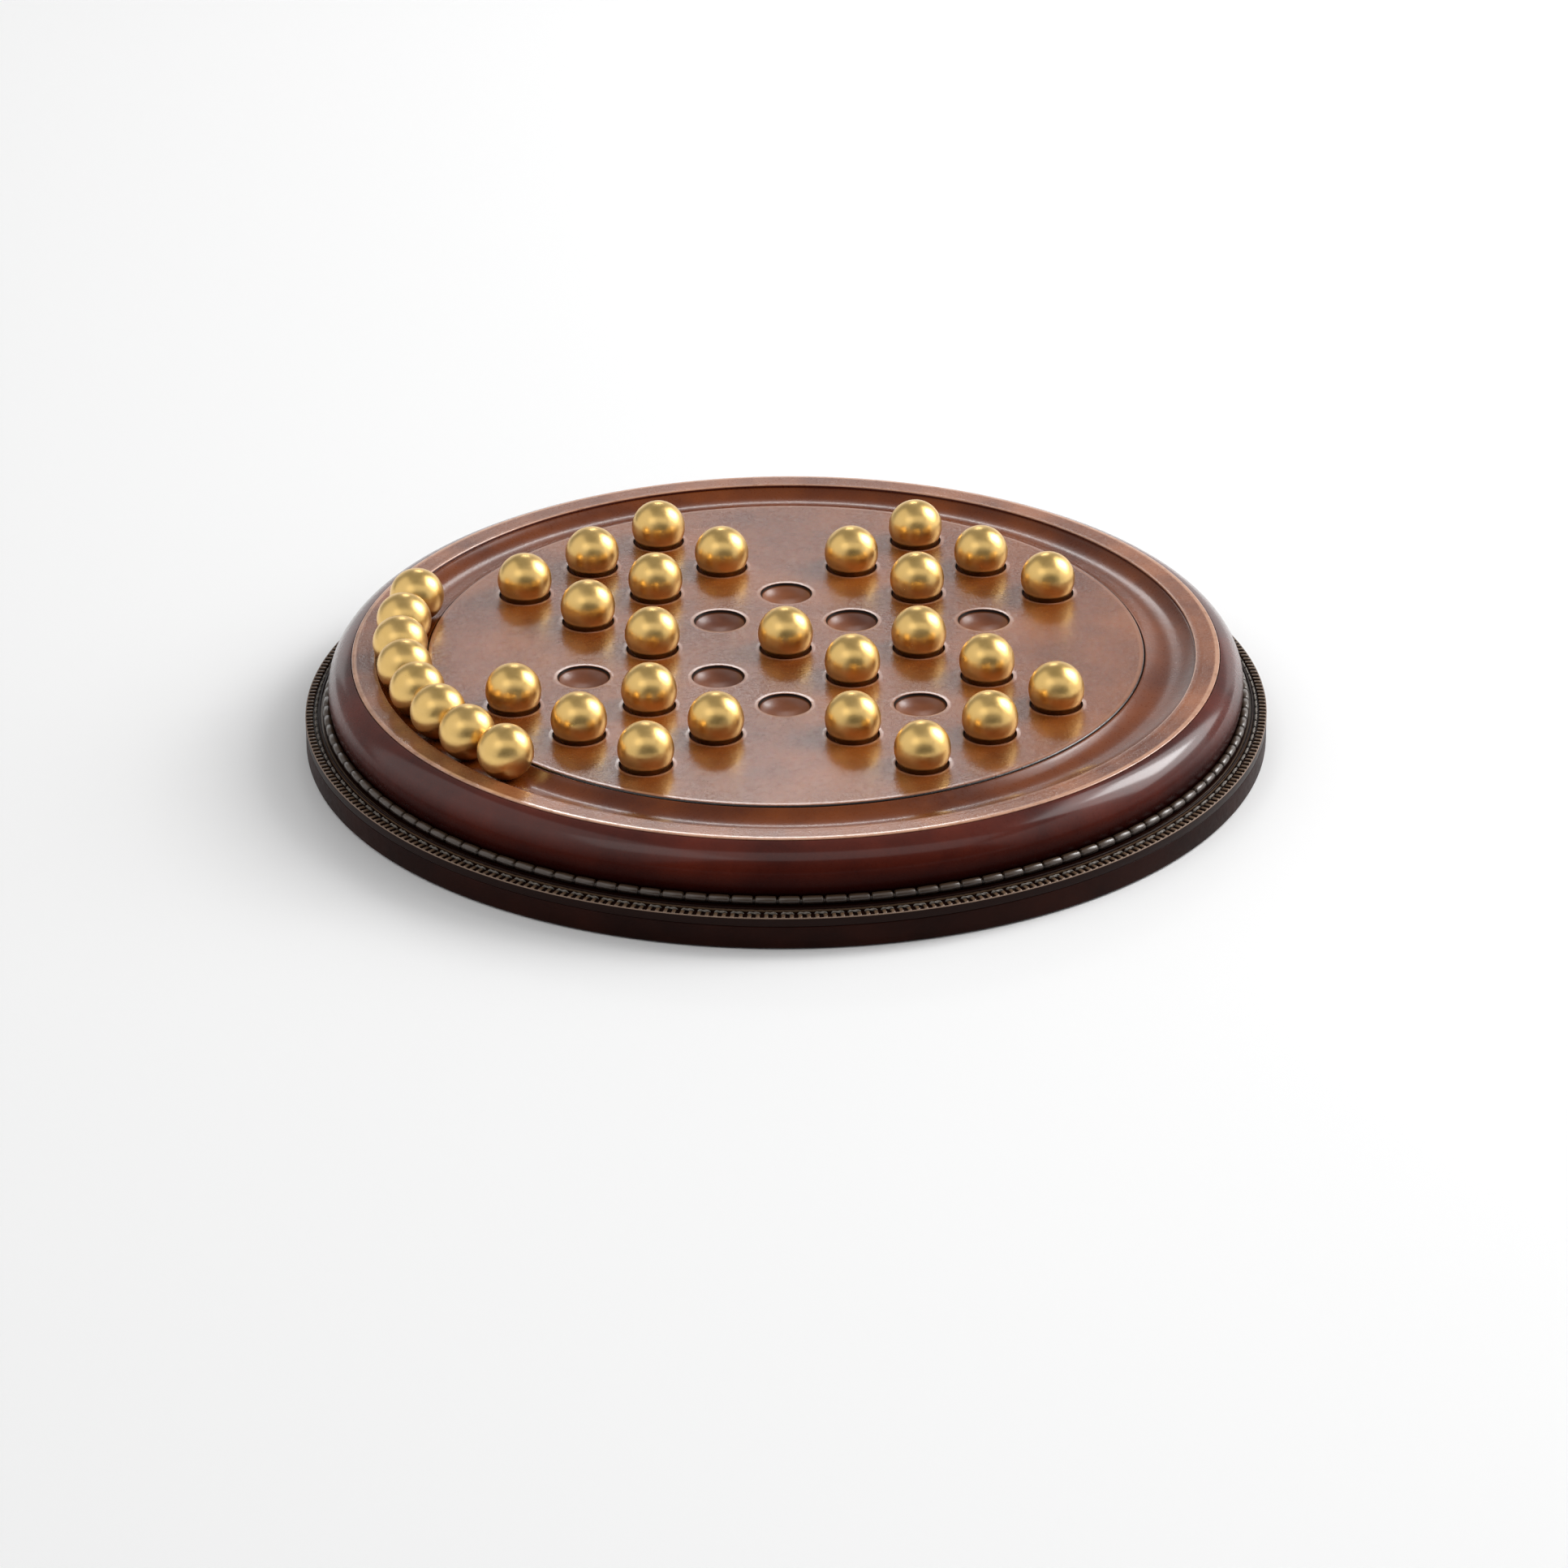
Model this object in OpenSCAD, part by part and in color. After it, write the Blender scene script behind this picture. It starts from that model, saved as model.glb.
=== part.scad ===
// Peg solitaire board: a round wooden board sheathed in leather and welted like a shoe, with
// thirty-three dished holes, a gutter around them for captured balls, and loose brass balls.
// Origin: centre of the underside. +Z is up, and the side with the last gutter ball faces -Y.

/* [Balls] */
// Diameter of each ball
ball_d = 20; // [17:0.5:22]
// Clearance between a resting ball and the leather under it
seat_gap = 0.05; // [0.02:0.01:0.1]
// Angle at which the row of captured balls starts in the gutter
captured_start = 166.3; // [120:0.1:220]

/* [Playing disc] */
// Diameter of the playing disc over its leather
disc_d = 260.6; // [254:0.2:290]
// Height of the playing face above the table
face_h = 33; // [29:0.5:45]
// Distance between the centres of neighbouring holes
pitch = 34.2; // [28:0.1:36]
// Depth of a hole below the playing face
hole_depth = 4.2; // [3:0.1:5]
// How much wider a hole's rounded mouth is than the ball
hole_over = 0.1; // [-3:0.1:2]
// Slope of a hole's shallow bottom where it meets the steeper side, in degrees
hole_base = 18; // [8:1:22]
// Slope of a hole's side at its mouth, in degrees
hole_side = 58; // [45:1:65]
// Rounding of a hole's mouth
hole_round = 0.9; // [0.3:0.1:1.1]
// Rounding of the disc's top edge
disc_round = 0.8; // [0.3:0.1:1.1]

/* [Gutter and rim] */
// Width of the crease between the disc and the gutter
crease_w = 0.35; // [0.2:0.05:1]
// Width of the gutter, from the crease to the rim
gutter_w = 18.05; // [15:0.05:26]
// Depth of the gutter below the playing face
gutter_depth = 3.4; // [2.4:0.1:5]
// How far the gutter's inner lip lies below the playing face
gutter_drop = 0.5; // [0.2:0.1:1]
// How far the gutter lining runs under the rim band
lining_tuck = 0.5; // [0.2:0.1:1.5]
// Width of the flat rim
rim_w = 8.8; // [6:0.1:16]
// Height of the rim above the playing face
rim_rise = 0.6; // [0.3:0.1:2]
// Rounding of the rim band's edges
rim_round = 0.5; // [0.2:0.1:0.9]

/* [Wall] */
// Width of the crease between the rim and the wall
quirk_w = 0.25; // [0.2:0.05:0.6]
// Drop from the rim to the top of the wall
quirk_drop = 0.5; // [0.2:0.1:1]
// How far the wall's shoulder curves out
shoulder_w = 8.55; // [6:0.05:12]
// Height of the shoulder's curve
shoulder_h = 11; // [8:0.1:14]
// How far the wall's foot curves back in
foot_tuck = 2.6; // [1.5:0.1:4]
// How far the wall's leather is turned under the ring
turn_in = 14; // [6:0.5:20]

/* [Leather and fits] */
// Thickness of the leather that covers the board
leather_t = 1.2; // [1:0.1:1.6]
// Thickness of the leather band round the base
band_t = 1.3; // [1:0.1:2]
// Glue line between glued pieces
glue = 0.05; // [0.02:0.01:0.1]

/* [Base] */
// Thickness of the felt pad under the base
pad_t = 1; // [0.6:0.1:2]
// How far the pad's edge lies inside the base board's edge
pad_inset = 2; // [1:0.5:8]
// Thickness of the base board
base_t = 7.75; // [6:0.05:12]
// Gap between the edge band and the table
band_lift = 0.3; // [0.1:0.1:0.8]
// Rounding of the edge band's lower edge
band_round = 1; // [0.4:0.1:1.1]

/* [Welt] */
// Thickness of the welt's strip under the wall
strip_t = 2.35; // [1.6:0.05:3.5]
// Height of the welt's knurled edge above the base board
welt_h = 3.65; // [2.8:0.05:4.5]
// How far the seat of the notched bead rises above the knurled edge
bead_seat_rise = 0.85; // [0.5:0.05:1.5]
// Diameter of the notched bead
bead_d = 3.2; // [2.4:0.1:4]
// Number of the bead's segments
bead_count = 131; // [60:1:180]
// Width of the notch between two segments
notch_w = 0.7; // [0.4:0.1:1.2]
// Depth of the notch
notch_depth = 1.1; // [0.5:0.1:1.5]
// Width of the groove outside the bead
groove_w = 0.8; // [0.5:0.1:1.5]
// Depth of that groove
groove_depth = 0.8; // [0.4:0.1:1.2]
// Width of the plain ridge inside the stitches
ridge_w = 0.8; // [0.5:0.1:1.5]
// How far the plain ridge rises above the knurled edge
ridge_rise = 1.1; // [0.5:0.1:1.5]
// Width of the stitch channel
channel_w = 2; // [1.5:0.1:3]
// Depth of the stitch channel below the knurled edge
channel_depth = 1; // [0.6:0.1:1.4]
// Width of the band of knurled ridges
knurl_w = 2.35; // [1.5:0.05:4]
// Width of each slot between two knurled ridges
slot_w = 1.4; // [0.8:0.1:1.8]
// Depth of those slots
slot_depth = 0.8; // [0.4:0.1:1.2]
// Width of the plain lip outside the knurled ridges
lip_w = 0.45; // [0.2:0.05:1]
// How far the lip lies below the knurled ridges
lip_drop = 0.3; // [0.1:0.1:0.6]

/* [Stitches] */
// Number of stitches round the welt
stitch_count = 188; // [90:1:220]
// Length of one stitch
stitch_l = 4.5; // [2.5:0.1:5]
// Diameter of the thread
thread_d = 1.1; // [0.7:0.1:1.4]

/* [Fixings] */
// Diameter of a wood screw's shank
screw_d = 4; // [3:0.5:5]
// Diameter of a wood screw's countersunk head
head_d = 8; // [7:0.5:10]
// Length of a wood screw
screw_l = 20; // [14:0.5:22]
// Number of screws that hold the ring
ring_screws = 8; // [4:1:12]
// Number of screws that hold the disc
disc_screws = 4; // [3:1:6]
// Radius of the circle of screws that hold the disc
disc_screw_r = 60; // [40:1:110]
// Diameter of a locating dowel
dowel_d = 6; // [4:0.5:8]
// Length of a locating dowel
dowel_l = 14; // [10:0.5:20]
// Number of locating dowels
dowel_count = 4; // [2:1:6]
// Radius of the circle of dowels
dowel_r = 96; // [70:1:115]
// Clearance round a screw or dowel
fixing_gap = 0.05; // [0.02:0.01:0.1]

/* [Hidden] */
$fn = 96;
eps = 0.01;

// The cross of holes: three steps out from the centre each way, in arms three holes wide
reach = 3;
arm = 1;
files = "abcdefg";
HOLES = [for (i = [-reach:reach], j = [-reach:reach]) if (abs(i) <= arm || abs(j) <= arm) [i, j]];
EMPTY = [[-1, -1], [-1, 0], [0, -1], [1, -2], [-1, 2], [0, 1], [1, 1], [2, 0]];
function is_empty(hole) = len([for (e = EMPTY) if (e == hole) e]) > 0;
SEATED = [for (hole = HOLES) if (!is_empty(hole)) hole];
function ball_name(hole) = str("ball_", files[hole[0] + reach], hole[1] + reach + 1);

// Gaps between each captured ball and the next, as they came to rest
captured_gaps = [1.9, 0.3, 0.4, 0.3, 0.4, 0.4, 1.4];
CAPTURED = [for (k = [0:len(captured_gaps)]) k];
function captured_name(k) = str("gutter_ball_", k + 1);

BOARD_NODES = ["base_pad", "base_board", "edge_band", "base_screws", "locating_dowels", "ring_core",
    "gutter_lining", "rim_leather", "wall_leather", "notched_bead", "welt", "welt_stitches",
    "disc_core", "disc_leather"];

// Heights
base_top = pad_t + base_t + glue;
core_foot = base_top + glue;
welt_top = core_foot + welt_h;
bead_seat = welt_top + bead_seat_rise;
turn_z = core_foot + strip_t + glue;
rebate_z = turn_z + leather_t + glue;
rim_z = face_h + rim_rise;
rim_seat = rim_z - leather_t;
wall_top = rim_z - quirk_drop;
wall_mid = wall_top - shoulder_h;
gutter_z = face_h - gutter_depth;

// Radii
ball_r = ball_d / 2;
disc_r = disc_d / 2;
gutter_in = disc_r + crease_w;
gutter_out = gutter_in + gutter_w;
gutter_mid = (gutter_in + gutter_out) / 2;
rim_out = gutter_out + rim_w;
shoulder_in = rim_out + quirk_w;
wall_r = shoulder_in + shoulder_w;

// Arcs through a chord's end and a rise: half the chord squared plus the rise squared, over twice the rise
function arc_radius(half, rise) = (half * half + rise * rise) / (2 * rise);
gutter_arc = arc_radius(gutter_w / 2, gutter_depth - gutter_drop);
shoulder_arc = arc_radius(shoulder_h, shoulder_w);
foot_arc = arc_radius(wall_mid - turn_z, foot_tuck);
shoulder_end = asin(shoulder_h / shoulder_arc);
mouth_r = (ball_d + hole_over) / 2;

// A dish's bottom and side arcs together reach its width and depth, short of the rounded mouth
dish_w = mouth_r - hole_round * sin(hole_side);
dish_h = hole_depth - hole_round * (1 - cos(hole_side));
base_w = sin(hole_base);
base_h = 1 - cos(hole_base);
side_w = sin(hole_side) - sin(hole_base);
side_h = cos(hole_base) - cos(hole_side);
dish_share = base_w * side_h - side_w * base_h;
dish_base_r = (dish_w * side_h - side_w * dish_h) / dish_share;
dish_side_r = (base_w * dish_h - base_h * dish_w) / dish_share;
dish_base_z = face_h - hole_depth + dish_base_r;
dish_side_c = [(dish_base_r - dish_side_r) * base_w,
    dish_base_z - (dish_base_r - dish_side_r) * cos(hole_base)];

function arc(centre, radius, from, to, steps) = [for (s = [0:steps])
    let (a = from + (to - from) * s / steps)
    [centre[0] + radius * cos(a), centre[1] + radius * sin(a)]];
function reversed(points) = [for (k = [len(points) - 1:-1:0]) points[k]];

// The wall's section, at a depth under its outer face, from the turned-in edge up to the crease
function foot_angle(depth) = asin((turn_z + depth - wall_mid) / (foot_arc - depth));
function wall_line(depth) = concat(
    [[wall_r - foot_tuck - turn_in, turn_z + depth]],
    arc([wall_r - foot_arc, wall_mid], foot_arc - depth, foot_angle(depth), 0, 8),
    arc([wall_r - shoulder_arc, wall_mid], shoulder_arc - depth, 90 / 14, shoulder_end, 14));
function wall_radius(z) = wall_r - foot_arc + sqrt(foot_arc * foot_arc - (wall_mid - z) * (wall_mid - z));

// The welt, from the bead out to the lip
bead_z = bead_seat + glue + bead_d / 2;
bead_gap = 0.15;
bead_r = wall_radius(bead_z) + bead_gap + bead_d / 2;
ridge_in = bead_r + bead_d / 2 + groove_w;
ridge_out = ridge_in + ridge_w;
knurl_in = ridge_out + channel_w;
knurl_out = knurl_in + knurl_w;
slot_in = knurl_in - channel_w / 4;
slot_out = knurl_out + lip_w / 3;
board_r = knurl_out + lip_w;
rebate_in = wall_r - foot_tuck - turn_in - glue;
welt_in = rebate_in + glue;
riser_in = wall_radius(bead_seat) + bead_gap;
base_r = board_r - band_t - glue;

// Fixings
screw_z = pad_t + glue;
point_l = screw_d;
ring_screw_r = (gutter_in + rebate_in) / 2;
dowel_z = base_top - dowel_l / 2;

brass = "#c9a24a";
disc_brown = "#6d4638";
rim_brown = "#7a4a38";
gutter_brown = "#7d4a26";
wall_brown = "#3a1512";
welt_brown = "#3b302a";
thread_grey = "#5d544c";
wood_tan = "#c8a678";
ply_tan = "#b8935f";
felt_black = "#26221f";
steel_grey = "#9a9ca0";

// Spreads copies evenly round the board's axis
module around(count, first = 0) {
    for (k = [0:count - 1])
        rotate([0, 0, first + 360 * k / count]) children();
}

// Moves its children to a hole: the cross is turned 45 degrees, with a corner towards each side
module at_hole(hole) {
    translate([(hole[0] - hole[1]) * pitch / sqrt(2), -(hole[0] + hole[1]) * pitch / sqrt(2), 0]) children();
}

// The space inside a hole, at a depth under the leather's face: a dish with a steeper side and a rounded mouth
module dish(depth) {
    top = face_h - depth;
    round_r = max(hole_round - depth, eps);
    side_r = dish_side_r + depth;
    rise = dish_side_c[1] - top + round_r * (1 - cos(hole_side));
    side_end = min(hole_side, acos(rise / side_r));
    tip = dish_side_c + side_r * [sin(side_end), -cos(side_end)];
    rotate_extrude() polygon(concat(
        arc([0, dish_base_z], dish_base_r + depth, -90, hole_base - 90, 3),
        arc(dish_side_c, side_r, hole_base - 87, side_end - 90, 8),
        depth < hole_round ? arc([mouth_r, face_h - hole_round], round_r, 90 + hole_side, 90, 3) : [],
        [[max(tip[0], mouth_r), top + depth + 1], [0, top + depth + 1]]));
}

// The playing disc, at a depth under the leather's face, down to a foot
module disc_form(depth, foot) {
    edge = max(disc_round - depth, eps);
    radius = disc_r - depth;
    top = face_h - depth;
    difference() {
        rotate_extrude() polygon(concat(
            [[0, foot], [radius, foot]],
            arc([radius - edge, top - edge], edge, 0, 90, 5),
            [[0, top]]));
        for (hole = HOLES) at_hole(hole) dish(depth);
    }
}

// A screw or its hole: a countersunk head, a shank and a point, grown by a gap
module screw_form(gap) {
    head_r = head_d / 2 + gap;
    shank_r = screw_d / 2 + gap;
    translate([0, 0, screw_z - gap]) rotate_extrude() polygon([
        [0, 0], [head_r, 0], [shank_r, head_r - shank_r],
        [shank_r, screw_l - point_l], [gap, screw_l + 2 * gap], [0, screw_l + 2 * gap]]);
}

module all_screws(gap) {
    around(ring_screws) translate([ring_screw_r, 0, 0]) screw_form(gap);
    around(disc_screws, 45) translate([disc_screw_r, 0, 0]) screw_form(gap);
}

module all_dowels(gap) {
    around(dowel_count) translate([dowel_r, 0, dowel_z - gap]) cylinder(d = dowel_d + 2 * gap, h = dowel_l + 2 * gap);
}

module base_pad() {
    color(felt_black) cylinder(r = base_r - pad_inset, h = pad_t);
}

module base_board() {
    color(ply_tan) difference() {
        translate([0, 0, pad_t + glue]) cylinder(r = base_r, h = base_t);
        all_screws(fixing_gap);
        all_dowels(fixing_gap);
    }
}

// A leather band glued round the base board's edge
module edge_band() {
    color(wall_brown) rotate_extrude() polygon(concat(
        [[base_r + glue, band_lift]],
        arc([board_r - band_round, band_lift + band_round], band_round, -90, 0, 6),
        [[board_r, base_top], [base_r + glue, base_top]]));
}

module base_screws() {
    color(steel_grey) all_screws(0);
}

module locating_dowels() {
    color(wood_tan) all_dowels(0);
}

// The turned ring under the gutter, the rim and the wall, rebated below for the welt
module ring_core() {
    inner = leather_t + glue;
    color(wood_tan) difference() {
        rotate_extrude() difference() {
            polygon(concat(
                [[gutter_in, core_foot], [rebate_in, core_foot], [rebate_in, rebate_z]],
                wall_line(inner),
                [[rim_out - glue, rim_seat - glue], [gutter_in, rim_seat - glue]]));
            intersection() {
                translate([gutter_mid, gutter_z + gutter_arc]) circle(r = gutter_arc + inner);
                translate([0, core_foot]) square([gutter_out + lining_tuck + glue, face_h]);
            }
        }
        all_screws(fixing_gap);
    }
}

// The leather in the gutter, from the disc's crease to under the rim band
module gutter_lining() {
    color(gutter_brown) rotate_extrude() intersection() {
        translate([gutter_mid, gutter_z + gutter_arc]) difference() {
            circle(r = gutter_arc + leather_t);
            circle(r = gutter_arc);
        }
        translate([gutter_in, gutter_z - leather_t - 1])
            square([gutter_w + lining_tuck, rim_seat - glue - gutter_z + leather_t + 1]);
    }
}

// The flat leather band on top of the rim
module rim_leather() {
    color(rim_brown) rotate_extrude() polygon(concat(
        [[gutter_out, rim_seat], [rim_out, rim_seat]],
        arc([rim_out - rim_round, rim_z - rim_round], rim_round, 0, 90, 4),
        arc([gutter_out + rim_round, rim_z - rim_round], rim_round, 90, 180, 4)));
}

// The leather of the wall, turned in under the ring at its foot
module wall_leather() {
    color(wall_brown) rotate_extrude() polygon(concat(wall_line(0), reversed(wall_line(leather_t))));
}

// The bead that leans on the wall's foot, cut into segments by notches
module notched_bead() {
    color(welt_brown) difference() {
        rotate_extrude() translate([bead_r, bead_z]) circle(d = bead_d);
        around(bead_count) translate([bead_r, 0, bead_z + bead_d / 2])
            cube([bead_d + 1, notch_w, 2 * notch_depth], center = true);
    }
}

// The strip between the base and the wall: bead seat, groove, ridge, stitch channel, knurled edge and lip
module welt() {
    color(welt_brown) difference() {
        rotate_extrude() polygon([
            [welt_in, core_foot], [board_r, core_foot], [board_r, welt_top - lip_drop],
            [knurl_out, welt_top - lip_drop], [knurl_out, welt_top], [knurl_in, welt_top],
            [knurl_in, welt_top - channel_depth], [ridge_out, welt_top - channel_depth],
            [ridge_out, welt_top + ridge_rise], [ridge_in, welt_top + ridge_rise],
            [ridge_in, bead_seat - groove_depth], [ridge_in - groove_w, bead_seat - groove_depth],
            [ridge_in - groove_w, bead_seat], [riser_in, bead_seat],
            [riser_in, core_foot + strip_t], [welt_in, core_foot + strip_t]]);
        around(2 * stitch_count) translate([(slot_in + slot_out) / 2, 0, welt_top])
            cube([slot_out - slot_in, slot_w, 2 * slot_depth], center = true);
    }
}

// One stitch: a short length of thread with tapered ends, lying along the channel
module stitch() {
    r = thread_d / 2;
    half = stitch_l / 2;
    rotate([90, 0, 0]) rotate_extrude() polygon([
        [0, -half], [r * 0.5, -half], [r, r - half], [r, half - r], [r * 0.5, half], [0, half]]);
}

module welt_stitches() {
    color(thread_grey) around(stitch_count, 90 / stitch_count)
        translate([(ridge_out + knurl_in) / 2, 0, welt_top - channel_depth + glue + thread_d / 2]) stitch();
}

module disc_core() {
    color(wood_tan) difference() {
        disc_form(leather_t + glue, core_foot);
        all_screws(fixing_gap);
        all_dowels(fixing_gap);
    }
}

// The disc's leather, moulded into every hole and wrapped down the edge
module disc_leather() {
    color(disc_brown) difference() {
        disc_form(0, core_foot);
        disc_form(leather_t, core_foot - 1);
    }
}

module ball() {
    color(brass) sphere(d = ball_d);
}

module seated_ball(hole) {
    at_hole(hole) translate([0, 0, face_h - hole_depth + seat_gap + ball_r]) ball();
}

// The angle of a captured ball: each lies a ball and its gap further on than the one before
function step_angle(gap) = 2 * asin((ball_d + gap) / (2 * gutter_mid));
function captured_angle(k) = k == 0 ? captured_start : captured_angle(k - 1) + step_angle(captured_gaps[k - 1]);

module captured_ball(k) {
    rotate([0, 0, captured_angle(k)]) translate([gutter_mid, 0, gutter_z + seat_gap + ball_r]) ball();
}

base_pad();
base_board();
edge_band();
base_screws();
locating_dowels();
ring_core();
gutter_lining();
rim_leather();
wall_leather();
notched_bead();
welt();
welt_stitches();
disc_core();
disc_leather();
for (hole = SEATED) seated_ball(hole);
for (k = CAPTURED) captured_ball(k);
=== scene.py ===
# %% [markdown]
# # A peg solitaire board in burnished leather
#
# The board is a turned wooden ring and disc, sheathed in brown calf that was stained, waxed and
# burnished by hand. Its edge is made like a shoe's: a welt with a row of stitches stands out below
# a rounded wall. Thirty-three balls of satin brass lie in dished holes and in a gutter.
#
# The construction comes from CAD and is loaded here as a fixed frame. This lesson dresses it:
# each visible piece is modelled again, finely enough to catch the light well, and each finish is
# built from procedural shader nodes. Sizes are in millimetres, as the maker would give them, and
# are turned to metres where a point is placed. They repeat the named sizes of the CAD source:
# heights are above the table and radii are from the board's axis. That makes each piece fall in
# the place that the frame has for it, with no fitting.

# %% The frame
import bmesh
import bpy
from math import acos, asin, cos, degrees, pi, radians, sin, sqrt, tan
from mathutils import Matrix, Vector


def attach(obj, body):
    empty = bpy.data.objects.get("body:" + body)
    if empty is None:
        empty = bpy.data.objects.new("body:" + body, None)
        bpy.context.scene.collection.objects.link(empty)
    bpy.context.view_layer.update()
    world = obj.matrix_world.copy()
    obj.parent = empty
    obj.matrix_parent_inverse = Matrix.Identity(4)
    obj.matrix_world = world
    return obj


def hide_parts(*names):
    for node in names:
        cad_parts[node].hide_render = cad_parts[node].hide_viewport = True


MM = 0.001
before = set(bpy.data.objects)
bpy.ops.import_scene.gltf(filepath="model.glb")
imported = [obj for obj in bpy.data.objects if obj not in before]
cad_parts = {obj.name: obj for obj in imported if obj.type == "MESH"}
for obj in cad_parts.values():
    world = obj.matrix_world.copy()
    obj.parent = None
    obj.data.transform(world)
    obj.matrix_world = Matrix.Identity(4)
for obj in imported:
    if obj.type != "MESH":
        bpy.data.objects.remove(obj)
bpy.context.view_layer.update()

# %% [markdown]
# ## The camera
#
# The photograph was taken with a long lens, from about two metres away and 26 degrees above the
# horizon. Such a lens keeps the board's ellipse flat and its verticals upright. The camera is made
# first, so that every later choice of detail can be judged by how large it shows. It looks along
# its own -Z, so it starts upright, is tipped down, and is carried back along its line of sight.

# %% The camera
FACE = 33.0
CAMERA_AIM = Vector((-0.9, -113.1, FACE))
CAMERA_DISTANCE = 2239.4
CAMERA_ELEVATION = 25.92
CAMERA_ROLL = -0.379
CAMERA_TURN = 0.477
FOCAL_LENGTH = 147.9

camera = bpy.data.objects.new("camera", bpy.data.cameras.new("camera"))
camera.data.lens = FOCAL_LENGTH
camera.data.sensor_width = 36.0
camera.data.clip_start, camera.data.clip_end = 0.05, 60.0
camera.matrix_world = (
    Matrix.Rotation(radians(CAMERA_TURN), 4, "Z")
    @ Matrix.Translation(CAMERA_AIM * MM)
    @ Matrix.Rotation(radians(90 - CAMERA_ELEVATION), 4, "X")
    @ Matrix.Translation((0, 0, CAMERA_DISTANCE * MM))
    @ Matrix.Rotation(radians(CAMERA_ROLL), 4, "Z")
)
bpy.context.scene.collection.objects.link(camera)
bpy.context.scene.camera = camera
print("camera at", [round(c, 3) for c in camera.matrix_world.translation])

# %% [markdown]
# ## The room
#
# Polished leather and satin metal show the room more than they show themselves. So the lamps are
# laid out as soft panels where the real balls show them: a window to the right and a little behind,
# brightest in its middle, with a low glow beside it; a broad panel to the left; a pale wall behind,
# with a narrow bright strip above it; and a panel overhead. The camera's side of the room stays
# dark. The strip matters more than its size: flat leather mirrors the wall behind at 26 degrees, so
# every edge that leans a little towards the camera mirrors the strip instead, as a thin bright line.
#
# A panel's brightness is its radiance, where 1 is as bright as white paper in this light. A lamp's
# power is its radiance times pi times its area. All stand two metres off or more, apart from the
# faint glow behind, because a nearer lamp would leave a bright patch on the floor.

# %% The lamps
ORIGIN = Vector((0, 0, FACE * MM))


def panel(name, azimuth, elevation, width, height, radiance, distance):
    """A soft lamp, whose width and height are angles. Azimuth 0 is behind the board and 90 is to its right.

    Gives back the light that it throws on a white card lying on the table.
    """
    turn, rise = radians(azimuth), radians(elevation)
    away = Vector((sin(turn) * cos(rise), cos(turn) * cos(rise), sin(rise)))
    light = bpy.data.lights.new(name, "AREA")
    light.shape = "RECTANGLE"
    light.size = 2 * distance * tan(radians(width / 2))
    light.size_y = 2 * distance * tan(radians(height / 2))
    light.energy = radiance * pi * light.size * light.size_y
    lamp = bpy.data.objects.new(name, light)
    lamp.location = ORIGIN + away * distance
    lamp.rotation_euler = away.to_track_quat("Z", "Y").to_euler()
    lamp.visible_camera = False
    bpy.context.scene.collection.objects.link(lamp)
    return radiance * light.size * light.size_y / distance**2 * sin(rise) / pi


# azimuth, elevation, width and height in degrees, then the radiance and the distance in metres
LAMPS = {
    "window_right": (67, 35, 42, 42, 2.9, 2.4),
    "window_core": (64, 37, 18, 22, 9.0, 2.4),
    "glow_right": (92, 16, 70, 44, 0.6, 4.0),
    "panel_left": (-106, 30, 88, 72, 0.52, 3.0),
    "panel_overhead": (180, 55, 80, 28, 0.6, 2.0),
    "wall_behind": (2, 8, 70, 20, 0.6, 4.0),
    "strip_behind": (-2, 31, 11, 4.5, 9.5, 2.2),
    "glow_behind": (-2, 24, 24, 6, 0.35, 1.3),
}
on_a_card = {name: panel(name, *lamp) for name, lamp in LAMPS.items()}
print("light on a white card:", {name: round(share, 3) for name, share in on_a_card.items()})

# %% [markdown]
# The world fills the rest: a dim ceiling, darker still towards the camera. Its Generated
# coordinates are the direction of the ray, so a Map Range on Y shades it from front to back.

# %% Shader helpers and the world
FRONT_DIM, BACK_DIM = 0.14, 0.3
FRONT_Y, BACK_Y = -0.9, -0.25


def linear(hex_colour):
    """An sRGB hex colour, as a paint chart gives it, turned to the linear values that shaders take."""
    channels = [int(hex_colour[i : i + 2], 16) / 255 for i in (1, 3, 5)]
    return (*[c / 12.92 if c <= 0.04045 else ((c + 0.055) / 1.055) ** 2.4 for c in channels], 1.0)


def add(tree, kind, inputs=(), **settings):
    """Adds a shader node. An input given another node's socket is linked to it, and any other value is set."""
    made = tree.nodes.new("ShaderNode" + kind)
    for name, value in settings.items():
        setattr(made, name, value)
    for name, value in dict(inputs).items():
        if isinstance(value, bpy.types.NodeSocket):
            tree.links.new(value, made.inputs[name])
        else:
            made.inputs[name].default_value = value
    return made


world = bpy.data.worlds.new("studio")
world.use_nodes = True
bpy.context.scene.world = world
tree = world.node_tree
tree.nodes.clear()
direction = add(tree, "SeparateXYZ", {0: add(tree, "TexCoord").outputs["Generated"]})
depth = add(tree, "MapRange", {"Value": direction.outputs["Y"], "From Min": FRONT_Y, "From Max": BACK_Y,
                               "To Min": FRONT_DIM, "To Max": BACK_DIM}, interpolation_type="SMOOTHSTEP")
room = add(tree, "Background", {"Color": depth.outputs["Result"]})
add(tree, "OutputWorld", {"Surface": room.outputs[0]})
bpy.context.scene.view_settings.view_transform = "Standard"
print("world: dim room, from", FRONT_DIM, "in front to", BACK_DIM, "behind")

# %% [markdown]
# ## The floor
#
# The board stands on a plain pale floor that fills the frame. It is one large face, since nothing
# on it needs an edge, and a matt white card finish keeps the board's soft shadow.

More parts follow.
